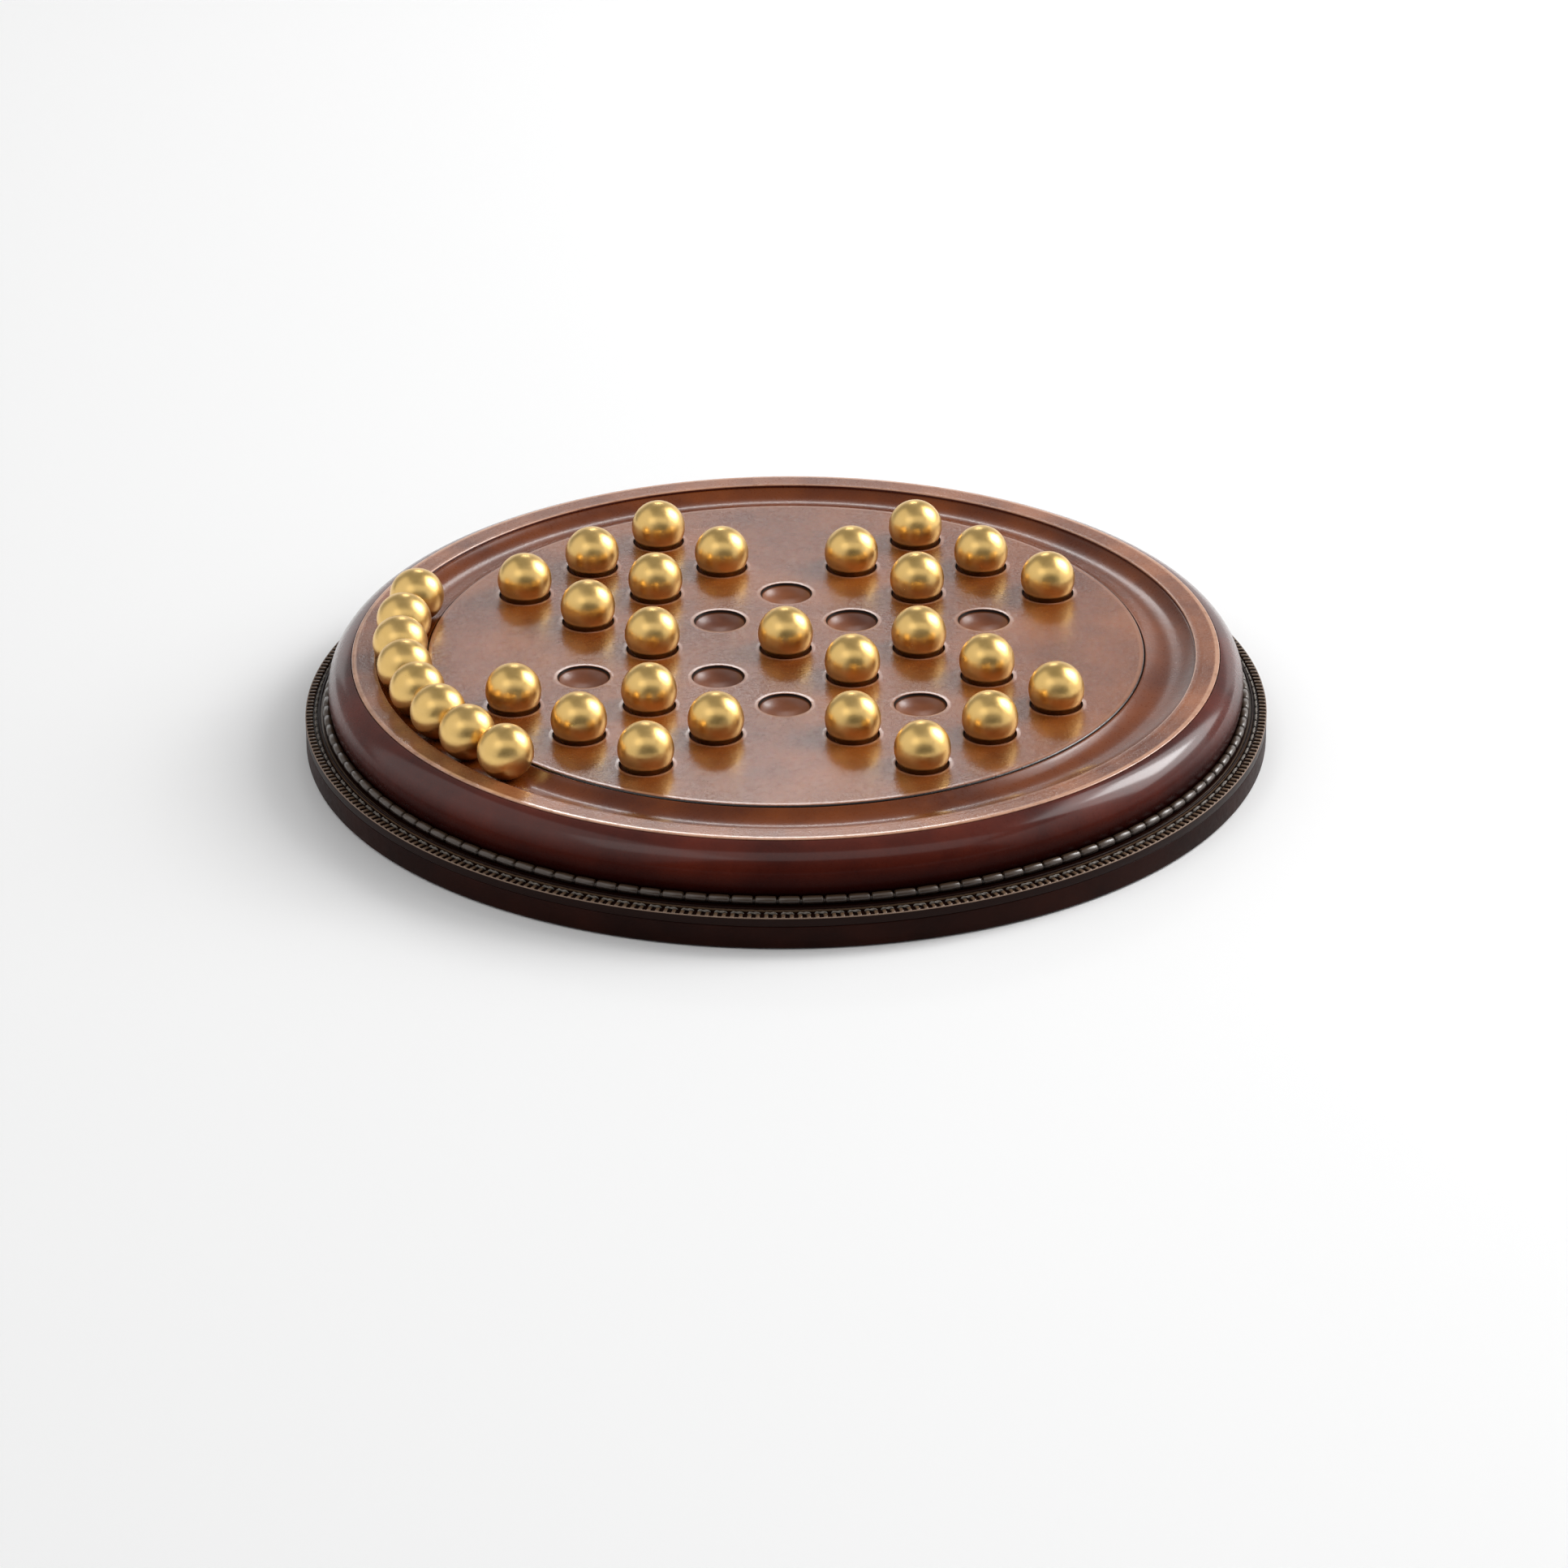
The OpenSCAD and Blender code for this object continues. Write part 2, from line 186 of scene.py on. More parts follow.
# %% The floor
FLOOR_SIZE = 40.0
bm = bmesh.new()
bmesh.ops.create_grid(bm, x_segments=1, y_segments=1, size=FLOOR_SIZE / 2)
floor = bpy.data.objects.new("floor", bpy.data.meshes.new("floor"))
bm.to_mesh(floor.data)
bm.free()
bpy.context.scene.collection.objects.link(floor)

card = bpy.data.materials.new("matt white card")
card.use_nodes = True
tree = card.node_tree
tree.nodes.clear()
matt = add(tree, "BsdfDiffuse", {"Color": linear("#fbfbfb")})
add(tree, "OutputMaterial", {"Surface": matt.outputs[0]})
floor.data.materials.append(card)
print("floor", FLOOR_SIZE, "m across")

# %% [markdown]
# ## Drawing and turning
#
# Nearly every part of this board was turned: on a lathe, a tool's path is one section swept round
# an axis. The same is done here. A section is drawn as a line of vertices in the XZ plane, with
# extrusions for its straights and spins for its arcs.

# %% Drawing a section
SAME_PLACE = 1e-7


def pen_down(bm, r, z):
    """The first point of a section, at a radius and a height in millimetres."""
    return bm.verts.new((r * MM, 0, z * MM))


def line_to(bm, tip, r, z):
    """A straight from the pen's tip to a point. Gives back the new tip."""
    tip = bmesh.ops.extrude_vert_indiv(bm, verts=[tip])["verts"][0]
    tip.co = (r * MM, 0, z * MM)
    return tip


def arc_to(bm, tip, r, z, sweep, steps):
    """An arc about the point (r, z), of a sweep in degrees: positive turns from outwards to upwards."""
    arc = bmesh.ops.spin(bm, geom=[tip], cent=(r * MM, 0, z * MM), axis=(0, -1, 0),
                         angle=radians(sweep), steps=steps)
    return next(v for v in arc["geom_last"] if isinstance(v, bmesh.types.BMVert))


def round_off(bm, geom, radius, segments, affect="VERTICES"):
    """Rounds corners, or edges, to a radius in millimetres."""
    bmesh.ops.bevel(bm, geom=geom, offset=radius * MM, offset_type="OFFSET", segments=segments, profile=0.5,
                    affect=affect, material=-1, clamp_overlap=True)


def close_section(bm, tip, start, rounds=()):
    """Joins the tip to the start, then rounds the corners at the given (r, z, radius)."""
    if (tip.co - start.co).length > SAME_PLACE:
        bm.edges.new((tip, start))
    bmesh.ops.remove_doubles(bm, verts=bm.verts, dist=SAME_PLACE)
    for r, z, radius in rounds:
        place = Vector((r * MM, 0, z * MM))
        round_off(bm, [min(bm.verts, key=lambda v: (v.co - place).length)], radius, 4)


print("vertices nearer than", round(SAME_PLACE / MM, 5), "mm are merged")

# %% [markdown]
# Leather is pulled over the edges of the wood under it, so no edge is a plain corner. Each one
# leans a few degrees first, on a wide arc, and only then turns down on a tight one. The lean is
# what draws the thin bright lines, and the wide arc gives them their breadth.
#
# The closed section is then spun once round Z. The full turn merges its last step with its first,
# so the ring has no seam.

# %% Rolled edges and a full turn
EDGE_LEAN = 5
TURN_STEPS = 360


def edge_arcs(r, z, tight_r, gentle_r, side=1):
    """Centres of the arcs, tight and gentle, that roll a flat top at height z over an edge at radius r."""
    lean = radians(EDGE_LEAN)
    tight = Vector((r - side * tight_r, z - gentle_r + (gentle_r - tight_r) * cos(lean)))
    return tight, Vector((tight.x - side * (gentle_r - tight_r) * sin(lean), z - gentle_r))


def turn(bm, steps=TURN_STEPS):
    """Spins everything drawn so far once round the board's axis."""
    bmesh.ops.spin(bm, geom=bm.verts[:] + bm.edges[:], cent=(0, 0, 0), axis=(0, 0, 1), angle=2 * pi,
                   steps=steps, use_merge=True)
    bmesh.ops.remove_doubles(bm, verts=bm.verts, dist=SAME_PLACE)


print("a turn has", TURN_STEPS, "steps, each of", 360 / TURN_STEPS, "degrees")

# %% [markdown]
# A finished bmesh becomes a piece: its normals are made to point outwards, its faces are shaded
# smooth, and an edge is kept crisp where the surface really turns a corner. The piece then rides on
# its body, stands for its CAD node, which is hidden, and gets its finish as its first material.

# %% Making a piece


def make_piece(name, bm, finish, body, node, crease=38):
    """Turns a bmesh into a named piece that rides on a body and stands for a CAD node.

    An edge that turns by more than the crease, in degrees, is kept crisp.
    """
    bmesh.ops.recalc_face_normals(bm, faces=bm.faces)
    for edge in bm.edges:
        edge.smooth = edge.calc_face_angle(0) < radians(crease)
    for face in bm.faces:
        face.smooth = True
    open_edges = sum(not edge.is_manifold for edge in bm.edges)
    mesh = bpy.data.meshes.new(name)
    bm.to_mesh(mesh)
    bm.free()
    mesh.materials.append(finish)
    piece = bpy.data.objects.new(name, mesh)
    bpy.context.scene.collection.objects.link(piece)
    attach(piece, body)
    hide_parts(node)
    triangles = sum(len(face.vertices) - 2 for face in mesh.polygons)
    print(f"{name}: {triangles} triangles, {open_edges} open edges")
    return piece


print("pieces so far:", len(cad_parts), "CAD nodes and no dressed ones")

# %% [markdown]
# ## Burnished calf
#
# Calf leather is smooth and close-grained. This one was stained, rubbed with darker cream and
# waxed, so the eye sees three things: clouds of lighter and darker brown where the cloth went, a
# fine grain of pores that breaks the sheen into glints, and a gloss that mirrors the balls softly.
# A noise of some 40 mm mixes two browns for the clouds. A noise of about a millimetre gives the
# grain: real pores are a fifth of that, and wouldn't show. The wax is a thin coat over the rougher
# leather.

# %% Clouds and grain
CLOUD, PORE, FOLD = 38, 1.2, 3


def cells(size):
    """A noise or cell texture's scale, from the size of one cell in millimetres."""
    return 1 / (size * MM)


def new_finish(name):
    """An empty material, its node tree, and the coordinates of the object."""
    finish = bpy.data.materials.new(name)
    finish.use_nodes = True
    finish.node_tree.nodes.clear()
    return finish, finish.node_tree, add(finish.node_tree, "TexCoord").outputs["Object"]


def clouded(tree, where, rubbed, deep):
    """Two browns, mixed in clouds as the cloth left them."""
    clouds = add(tree, "TexNoise", {"Vector": where, "Scale": cells(CLOUD), "Detail": 5, "Roughness": 0.62})
    patches = add(tree, "MapRange", {"Value": clouds.outputs[0], "From Min": 0.34, "From Max": 0.66})
    return add(tree, "Mix", {0: patches.outputs["Result"], 6: linear(deep), 7: linear(rubbed)},
               data_type="RGBA").outputs[2]


def grained(tree, where):
    """The height of the whole grain, and that of its coarser folds alone."""
    pores = add(tree, "TexNoise", {"Vector": where, "Scale": cells(PORE), "Detail": 3, "Roughness": 0.6})
    folds = add(tree, "TexNoise", {"Vector": where, "Scale": cells(FOLD), "Detail": 4, "Roughness": 0.65})
    relief = add(tree, "Math", {0: pores.outputs[0], 1: folds.outputs[0]}, operation="ADD")
    return relief.outputs[0], folds.outputs[0]


print("one pore of", PORE, "mm is a scale of", round(cells(PORE), 1))

# %% [markdown]
# These marks go by height, and the cloth that polishes reaches the tops. `foot` darkens a wall
# downwards, as painted shade, and lets its wax fade. `crease` is a band of painted shade, dark in
# the creases and steep walls. `crest` is the top of an edge: painted paler, as a painted highlight,
# and also worn smoother, with its grain rubbed away and more wax on it.

# %% A band of heights
PAINTED_SHADE_ENDS, CREST_ENDS = (0.4, 0.1), (0.3, 0.015)


def band(tree, height, low, high, rise, fall):
    """A mask of the heights between low and high in millimetres, which comes in rise and goes in fall."""
    above = add(tree, "MapRange", {"Value": height, "From Min": low * MM, "From Max": (low + rise) * MM})
    below = add(tree, "MapRange", {"Value": height, "From Min": high * MM, "From Max": (high - fall) * MM})
    return add(tree, "Math", {0: above.outputs["Result"], 1: below.outputs["Result"]},
               operation="MULTIPLY").outputs[0]


# in this print, stain means the crease's painted shade, and wear means the crest's painted highlight
print("stain comes in", PAINTED_SHADE_ENDS[0], "mm, and wear goes in", CREST_ENDS[1], "mm")

# %% Burnished calf
CALF_IOR = 1.5
POLISH_SPREAD = 0.07
GRAIN_STRENGTH = 0.6
WAX_GONE, WAX_WHOLE, FOOT_WAX = 7, 2, 0.02
WORN_POLISH, WORN_GRAIN, WORN_WAX = 0.1, 0.02, 1.0


def burnished_calf(name, rubbed, deep, foot=None, crease=None, crest=None, gloss=0.3, wax=0.3, shine=0.5,
                   grain=0.05):
    """Stained, waxed and burnished calf, with grain in millimetres of depth.

    foot, crease and crest are each a colour with a low and a high end in millimetres. foot and
    crease paint shade, and crest paints a highlight on an edge that is also worn smoother.
    """
    finish, tree, where = new_finish(name)
    colour = clouded(tree, where, rubbed, deep)
    relief, folds = grained(tree, where)
    bumps = GRAIN_STRENGTH
    polish = add(tree, "MapRange", {
        "Value": relief, "From Min": 0.7, "From Max": 1.3, "To Min": gloss - POLISH_SPREAD,
        "To Max": gloss + POLISH_SPREAD}).outputs["Result"]
    height = add(tree, "SeparateXYZ", {0: where}).outputs["Z"]
    # foot: painted shade, the colour darkened towards the foot of a wall
    if foot:
        shade, low, high = foot
        fade = add(tree, "MapRange", {"Value": height, "From Min": low * MM, "From Max": high * MM},
                   interpolation_type="SMOOTHSTEP").outputs["Result"]
        colour = add(tree, "Mix", {0: fade, 6: linear(shade), 7: colour}, data_type="RGBA").outputs[2]
        wax = add(tree, "MapRange", {
            "Value": height, "From Min": (high - WAX_GONE) * MM, "From Max": (high - WAX_WHOLE) * MM,
            "To Min": FOOT_WAX * wax, "To Max": wax}).outputs["Result"]
    # crease: a band of painted shade, dark in creases and steep walls
    if crease:
        shade, low, high = crease
        stained = band(tree, height, low, high, *PAINTED_SHADE_ENDS)
        colour = add(tree, "Mix", {0: stained, 6: colour, 7: linear(shade)}, data_type="RGBA").outputs[2]
    # crest: the paler colour is a painted highlight along the edge; its smoother polish, weaker grain and extra
    # wax are real wear
    if crest:
        pale, low, high = crest
        rubs = add(tree, "MapRange", {"Value": folds, "From Min": 0.3, "From Max": 0.5, "To Min": 0.5})
        wear_and_painted_light = add(tree, "Math", {0: band(tree, height, low, high, *CREST_ENDS), 1: rubs.outputs["Result"]},
                   operation="MULTIPLY").outputs[0]
        colour = add(tree, "Mix", {0: wear_and_painted_light, 6: colour, 7: linear(pale)}, data_type="RGBA").outputs[2]
        polish = add(tree, "Mix", {0: wear_and_painted_light, 2: polish, 3: WORN_POLISH}).outputs[0]
        bumps = add(tree, "MapRange", {
            "Value": wear_and_painted_light, "To Min": GRAIN_STRENGTH, "To Max": WORN_GRAIN}).outputs["Result"]
        wax = add(tree, "MapRange", {"Value": wear_and_painted_light, "To Min": wax, "To Max": WORN_WAX}).outputs["Result"]
    bump = add(tree, "Bump", {"Strength": bumps, "Distance": grain * MM, "Height": relief})
    surface = add(tree, "BsdfPrincipled", {
        "Base Color": colour, "Roughness": polish, "IOR": CALF_IOR, "Specular IOR Level": shine,
        "Coat Weight": wax, "Coat Roughness": 0.15, "Coat IOR": 1.45, "Normal": bump.outputs[0]})
    add(tree, "OutputMaterial", {"Surface": surface.outputs[0]})
    return finish


print("roughness varies by", POLISH_SPREAD, "up and down, with the grain")

# %% [markdown]
# ## The playing disc
#
# The leather was wetted and pressed into thirty-three dishes, so each hole has a small rounded lip,
# a short steep wall and a shallow dish. The holes make a cross, which lies turned by 45 degrees.

# %% Where the holes lie
PITCH = 34.2
ARM, REACH = 1, 3
STEPS = range(-REACH, REACH + 1)
HOLES = [(i, j) for i in STEPS for j in STEPS if abs(i) <= ARM or abs(j) <= ARM]
EMPTY = {(-1, -1), (-1, 0), (0, -1), (1, -2), (-1, 2), (0, 1), (1, 1), (2, 0)}


def hole_place(hole):
    """Where a hole lies: the cross is turned 45 degrees, with a corner towards each side."""
    i, j = hole
    return Vector(((i - j) * PITCH, -(i + j) * PITCH, 0)) * MM / sqrt(2)


print(len(HOLES), "holes,", len(EMPTY), "of them empty")

# %% [markdown]
# ### One dish
#
# A dish is two arcs, a wide one for its bottom and a small one for its side. Both radii follow from
# the dish's width and depth, which gives two equations in two unknowns: a matrix solves them. The
# lip rolls over as every edge of the board does.

# %% The section of a dish
MOUTH_R, HOLE_DEPTH, HOLE_ROUND, HOLE_BASE, HOLE_SIDE = 10.05, 4.2, 0.9, 18, 58
LIP_TIGHT, LIP_GENTLE = 0.35, 20.0


def dish_arcs():
    """The radii of a dish's bottom and side arcs, which together reach the dish's width and depth."""
    base, side = radians(HOLE_BASE), radians(HOLE_SIDE)
    width = MOUTH_R - HOLE_ROUND * sin(side)
    depth = HOLE_DEPTH - HOLE_ROUND * (1 - cos(side))
    reach = Matrix(((sin(base), sin(side) - sin(base)),
                    (1 - cos(base), cos(base) - cos(side))))
    return reach.inverted() @ Vector((width, depth))


def roll_lip(bm, tip):
    """Goes on from a dish's steep side to the flat face, by a short straight and two arcs."""
    slope, lean = radians(HOLE_SIDE), radians(EDGE_LEAN)
    r, z = tip.co.x / MM, tip.co.z / MM
    start_z = FACE - LIP_GENTLE * (1 - cos(lean)) - LIP_TIGHT * (cos(lean) - cos(slope))
    r, z = r + (start_z - z) / tan(slope), start_z
    tip = line_to(bm, tip, r, z)
    tip = arc_to(bm, tip, r + LIP_TIGHT * sin(slope), z - LIP_TIGHT * cos(slope),
                 EDGE_LEAN - HOLE_SIDE, 4)
    return arc_to(bm, tip, tip.co.x / MM + LIP_GENTLE * sin(lean), FACE - LIP_GENTLE, -EDGE_LEAN, 4)


print("a dish's arcs in mm: bottom and side", [round(radius, 2) for radius in dish_arcs()])

# %% [markdown]
# ### All the dishes
#
# A boolean could cut the dishes out of a slab, but it leaves ragged triangles round the mouths. So
# one dish is turned about its own axis and then copied to every hole, for the leather's face and
# again for its back. Each mouth has a narrow flat collar, so that the long triangles of the flat
# meet no bent normals.

# %% All the dishes
COLLAR = 0.3


def pressed_dishes(bm, depth, steps):
    """All the dishes of a skin that lies at a depth under the leather's face."""
    base_r, side_r = dish_arcs()
    top, centre_z = FACE - depth, FACE - HOLE_DEPTH + base_r
    lean = radians(HOLE_BASE)
    side_x, side_z = (base_r - side_r) * sin(lean), centre_z - (base_r - side_r) * cos(lean)
    before = set(bm.verts)
    tip = pen_down(bm, 0, centre_z - base_r - depth)
    tip = arc_to(bm, tip, 0, centre_z, HOLE_BASE, 5)
    if depth:
        top_slope = degrees(acos((side_z - top) / (side_r + depth)))
        tip = arc_to(bm, tip, side_x, side_z, top_slope - HOLE_BASE, 6)
    else:
        tip = arc_to(bm, tip, side_x, side_z, HOLE_SIDE - HOLE_BASE, 10)
        tip = roll_lip(bm, tip)
    print("a dish", depth, "mm under the face ends", round(tip.co.x / MM, 2), "mm from its middle")
    line_to(bm, tip, tip.co.x / MM + COLLAR, top)
    drawn = [v for v in bm.verts if v not in before]
    edges = [e for e in bm.edges if e.verts[0] in drawn]
    bmesh.ops.spin(bm, geom=drawn + edges, cent=(0, 0, 0), axis=(0, 0, 1), angle=2 * pi, steps=steps,
                   use_merge=True)
    bmesh.ops.remove_doubles(bm, verts=[v for v in bm.verts if v not in before], dist=SAME_PLACE)
    first = [v for v in bm.verts if v not in before]
    inside = set(first)
    faces = [f for f in bm.faces if f.verts[0] in inside]
    for hole in HOLES[1:]:
        copy = bmesh.ops.duplicate(bm, geom=first + faces)["geom"]
        copy = [g for g in copy if isinstance(g, bmesh.types.BMVert)]
        bmesh.ops.translate(bm, verts=copy, vec=hole_place(hole))
    bmesh.ops.translate(bm, verts=first, vec=hole_place(HOLES[0]))


print("a collar is", COLLAR, "mm wide")

# %% [markdown]
# ### The skin
#
# A ring section gives the disc's rolled edge and the leather's way down its side. What is left
# between the edge and the dishes is flat, and triangle_fill closes it, on the face and on the back.

# %% The disc's skin
LEATHER = 1.2
DISC_R, CORE_FOOT = 130.3, 8.85
DISC_TIGHT, DISC_GENTLE = 0.7, 20
FACE_STEPS, BACK_STEPS = 48, 24
LEVEL = 1e-6


def fill_flat(bm, z):
    """Closes the flat at a height between the dishes' collars and the disc's edge."""
    level = [e for e in bm.edges if e.is_boundary and all(abs(v.co.z - z * MM) < LEVEL for v in e.verts)]
    bmesh.ops.triangle_fill(bm, use_beauty=True, use_dissolve=False, edges=level)
    return len(level)


bm = bmesh.new()
tight, gentle = edge_arcs(DISC_R, FACE, DISC_TIGHT, DISC_GENTLE)
tip = pen_down(bm, gentle.x - COLLAR, FACE)
tip = line_to(bm, tip, gentle.x, FACE)
tip = arc_to(bm, tip, *gentle, -EDGE_LEAN, 4)
tip = arc_to(bm, tip, *tight, EDGE_LEAN - 90, 6)
tip = line_to(bm, tip, DISC_R, CORE_FOOT)
tip = line_to(bm, tip, DISC_R - LEATHER, CORE_FOOT)
tip = line_to(bm, tip, DISC_R - LEATHER, FACE - LEATHER)
line_to(bm, tip, DISC_R - LEATHER - COLLAR, FACE - LEATHER)
turn(bm)
pressed_dishes(bm, 0, FACE_STEPS)
pressed_dishes(bm, LEATHER, BACK_STEPS)
print("edges round the flats:", fill_flat(bm, FACE), fill_flat(bm, FACE - LEATHER))

# %% [markdown]
# ### The disc's finishes
#
# The dishes wear three finishes. Their steep walls, and the whole of a dish with a ball in it, are
# left dull, because no cloth gets in there, and a gloss would catch the pale floor as a glint at
# the ball's foot. Their colour is darkened as painted shade: the seats are darker under their balls,
# and a band of painted shade runs down the steep walls and the disc's rolled edge. An open dish is
# rubbed to a soft shine, which spreads the window over its left side. The flat and the lips have
# the burnished finish, and each lip is painted pale, a painted highlight on leather also worn smoother.

# %% The disc's finishes
STEEP_LOW, STEEP_HIGH = 31.9, 32.9
MOUTH_MARGIN = 1
BURNISHED, DULL, RUBBED = range(3)
# a band of painted shade, dark in the dishes' steep walls and down the disc's rolled edge
PAINTED_CREASE_SHADE = ("#120502", STEEP_LOW, 32.93)

# crest: a pale painted highlight along each lip and the disc's edge, on leather also worn smoother
disc_calf = burnished_calf("burnished calf, disc", "#8f4d1b", "#673012", crease=PAINTED_CREASE_SHADE,
                           crest=("#b5836a", 32.8, 32.998), gloss=0.25, grain=0.25)
# the seats are a darker brown, as painted shade under the balls
seat_calf = burnished_calf("calf with painted shade, seats", "#7a4522", "#542a12", crease=PAINTED_CREASE_SHADE, gloss=0.5, wax=0.0,
                           shine=0.1)
open_calf = burnished_calf("rubbed calf, open holes", "#8c4c20", "#602c12", gloss=0.4, wax=0.0, shine=0.8)

for face in bm.faces:
    middle = face.calc_center_median()
    hole = min(HOLES, key=lambda h: (hole_place(h) - middle).xy.length)
    away = (hole_place(hole) - middle).xy.length
    if middle.z < STEEP_HIGH * MM and away < (MOUTH_R + MOUTH_MARGIN) * MM:
        face.material_index = RUBBED if hole in EMPTY and middle.z < STEEP_LOW * MM else DULL
shares = [sum(face.material_index == finish for face in bm.faces) for finish in (BURNISHED, DULL, RUBBED)]
print("faces burnished, dull and rubbed:", shares)
disc_skin = make_piece("moulded_disc_skin", bm, disc_calf, "board", "disc_leather")
disc_skin.data.materials.append(seat_calf)
disc_skin.data.materials.append(open_calf)

# %% [markdown]
# ## Gutter, rim and wall
#
# The gutter's lining is a shallow cove: one arc for its face, and a thicker one for its back. It is
# let in a little under the rim. The creases between the pieces are real gaps, which shows them dark
# from every side.

# %% The gutter's lining
GLUE = 0.05
GUTTER_IN, GUTTER_OUT, GUTTER_FLOOR, COVE_DEPTH = 130.65, 148.7, 29.6, 2.9
RIM_SEAT = 32.4


def arc_radius(half_chord, rise):
    """The radius of an arc from half its chord and its rise."""
    return (half_chord**2 + rise**2) / (2 * rise)


GUTTER_MID = (GUTTER_IN + GUTTER_OUT) / 2
GUTTER_ARC = arc_radius((GUTTER_OUT - GUTTER_IN) / 2, COVE_DEPTH)
GUTTER_Z = GUTTER_FLOOR + GUTTER_ARC
LINING_OUT = GUTTER_OUT + 0.5
LINING_TOP = RIM_SEAT - GLUE

bm = bmesh.new()
face_reach = degrees(acos((GUTTER_Z - LINING_TOP) / GUTTER_ARC))
back_in = degrees(asin((GUTTER_MID - GUTTER_IN) / (GUTTER_ARC + LEATHER)))
back_out = degrees(asin((LINING_OUT - GUTTER_MID) / (GUTTER_ARC + LEATHER)))
tip = start = pen_down(bm, GUTTER_MID - GUTTER_ARC * sin(radians(face_reach)), LINING_TOP)
tip = arc_to(bm, tip, GUTTER_MID, GUTTER_Z, 2 * face_reach, 36)
tip = line_to(bm, tip, LINING_OUT, LINING_TOP)
tip = line_to(bm, tip, LINING_OUT, GUTTER_Z - (GUTTER_ARC + LEATHER) * cos(radians(back_out)))
tip = arc_to(bm, tip, GUTTER_MID, GUTTER_Z, -(back_in + back_out), 12)
tip = line_to(bm, tip, GUTTER_IN, LINING_TOP)
close_section(bm, tip, start)
turn(bm)
gutter_calf = burnished_calf("burnished calf, gutter", "#7c3b0b", "#582406", shine=0.3, wax=0.4)
make_piece("gutter_skin", bm, gutter_calf, "board", "gutter_lining")

# %% [markdown]
# ### The rim
#
# The rim is a flat band of leather, pressed down a little over the lining. Its outer edge rolls over
# slowly and then turns down. Its inner edge stands up by a twentieth of a millimetre first, as
# leather does where it is pulled over a corner, so a short hollow leads up to it. Both edges draw a
# thin line of light round the rim; they are also painted paler, as a painted highlight, on leather
# worn smoother there. Below them, the rim's sides are darkened as painted shade.

# %% The rim's band
RIM_OUT, RIM_TOP = 157.5, 33.6
RIM_TIGHT, RIM_GENTLE = 0.4, 22
ROLL_LEAN, ROLL_TIGHT, ROLL_R, HOLLOW_R = 4, 0.6, 12, 8

bm = bmesh.new()
lean = radians(ROLL_LEAN)
roll_rise = (ROLL_R + HOLLOW_R) * (1 - cos(lean))
outer, outer_gentle = edge_arcs(RIM_OUT, RIM_TOP, RIM_TIGHT, RIM_GENTLE)
inner, roll = edge_arcs(GUTTER_OUT, RIM_TOP + roll_rise, ROLL_TIGHT, ROLL_R, side=-1)
hollow_x = roll.x + (ROLL_R + HOLLOW_R) * sin(lean)
tip = start = pen_down(bm, GUTTER_OUT, RIM_SEAT)
tip = line_to(bm, tip, RIM_OUT, RIM_SEAT)
tip = line_to(bm, tip, RIM_OUT, outer.y)
tip = arc_to(bm, tip, *outer, 90 - EDGE_LEAN, 5)
tip = arc_to(bm, tip, *outer_gentle, EDGE_LEAN, 4)
tip = line_to(bm, tip, hollow_x, RIM_TOP)
tip = arc_to(bm, tip, hollow_x, RIM_TOP + HOLLOW_R, -ROLL_LEAN, 3)
tip = arc_to(bm, tip, *roll, ROLL_LEAN + EDGE_LEAN, 7)
tip = arc_to(bm, tip, *inner, 90 - EDGE_LEAN, 5)
close_section(bm, tip, start)
turn(bm)
# crease is painted shade on the rim's sides and under its inner lip; crest is a pale painted highlight on its
# edges, which are also worn smoother
rim_calf = burnished_calf("burnished calf, rim", "#a0603a", "#6b371d", crease=("#4a160c", 31.9, 33.2),
                          crest=("#cf9d80", 33.2, 33.598), gloss=0.3, wax=0.2, grain=0.2)
make_piece("rim_band", bm, rim_calf, "board", "rim_leather")

# %% [markdown]
# ### The wall
#
# The wall's leather comes out from under the rim, rolls over the shoulder, and is tucked in at its
# foot, where it turns under the ring. The shoulder and the foot are two arcs that meet at the
# wall's widest, where both stand upright, so the wall has no kink there. The leather is painted
# darker towards the foot, as painted shade, and its wax fades with it.

# %% The wall's leather
WALL_TOP, WALL_MID, WALL_TURN = 33.1, 22.1, 11.25
WALL_R, SHOULDER_W, FOOT_TUCK, TURN_IN = 166.3, 8.55, 2.6, 14.0

SHOULDER_ARC = arc_radius(WALL_TOP - WALL_MID, SHOULDER_W)
FOOT_ARC = arc_radius(WALL_MID - WALL_TURN, FOOT_TUCK)
SHOULDER_END = degrees(asin((WALL_TOP - WALL_MID) / SHOULDER_ARC))
FOOT_X, SHOULDER_X = WALL_R - FOOT_ARC, WALL_R - SHOULDER_ARC
WALL_IN = WALL_R - FOOT_TUCK - TURN_IN


def foot_angle(depth):
    """How far below level the foot's arc starts, for a face at a depth in the leather."""
    return degrees(asin((WALL_TURN + depth - WALL_MID) / (FOOT_ARC - depth)))


bm = bmesh.new()
tip = start = pen_down(bm, WALL_IN, WALL_TURN)
tip = line_to(bm, tip, FOOT_X + FOOT_ARC * cos(radians(foot_angle(0))), WALL_TURN)
tip = arc_to(bm, tip, FOOT_X, WALL_MID, -foot_angle(0), 14)
tip = arc_to(bm, tip, SHOULDER_X, WALL_MID, SHOULDER_END, 32)
end = radians(SHOULDER_END)
tip = line_to(bm, tip, SHOULDER_X + (SHOULDER_ARC - LEATHER) * cos(end),
              WALL_MID + (SHOULDER_ARC - LEATHER) * sin(end))
tip = arc_to(bm, tip, SHOULDER_X, WALL_MID, -SHOULDER_END, 12)
tip = arc_to(bm, tip, FOOT_X, WALL_MID, foot_angle(LEATHER), 8)
tip = line_to(bm, tip, WALL_IN, WALL_TURN + LEATHER)
close_section(bm, tip, start)
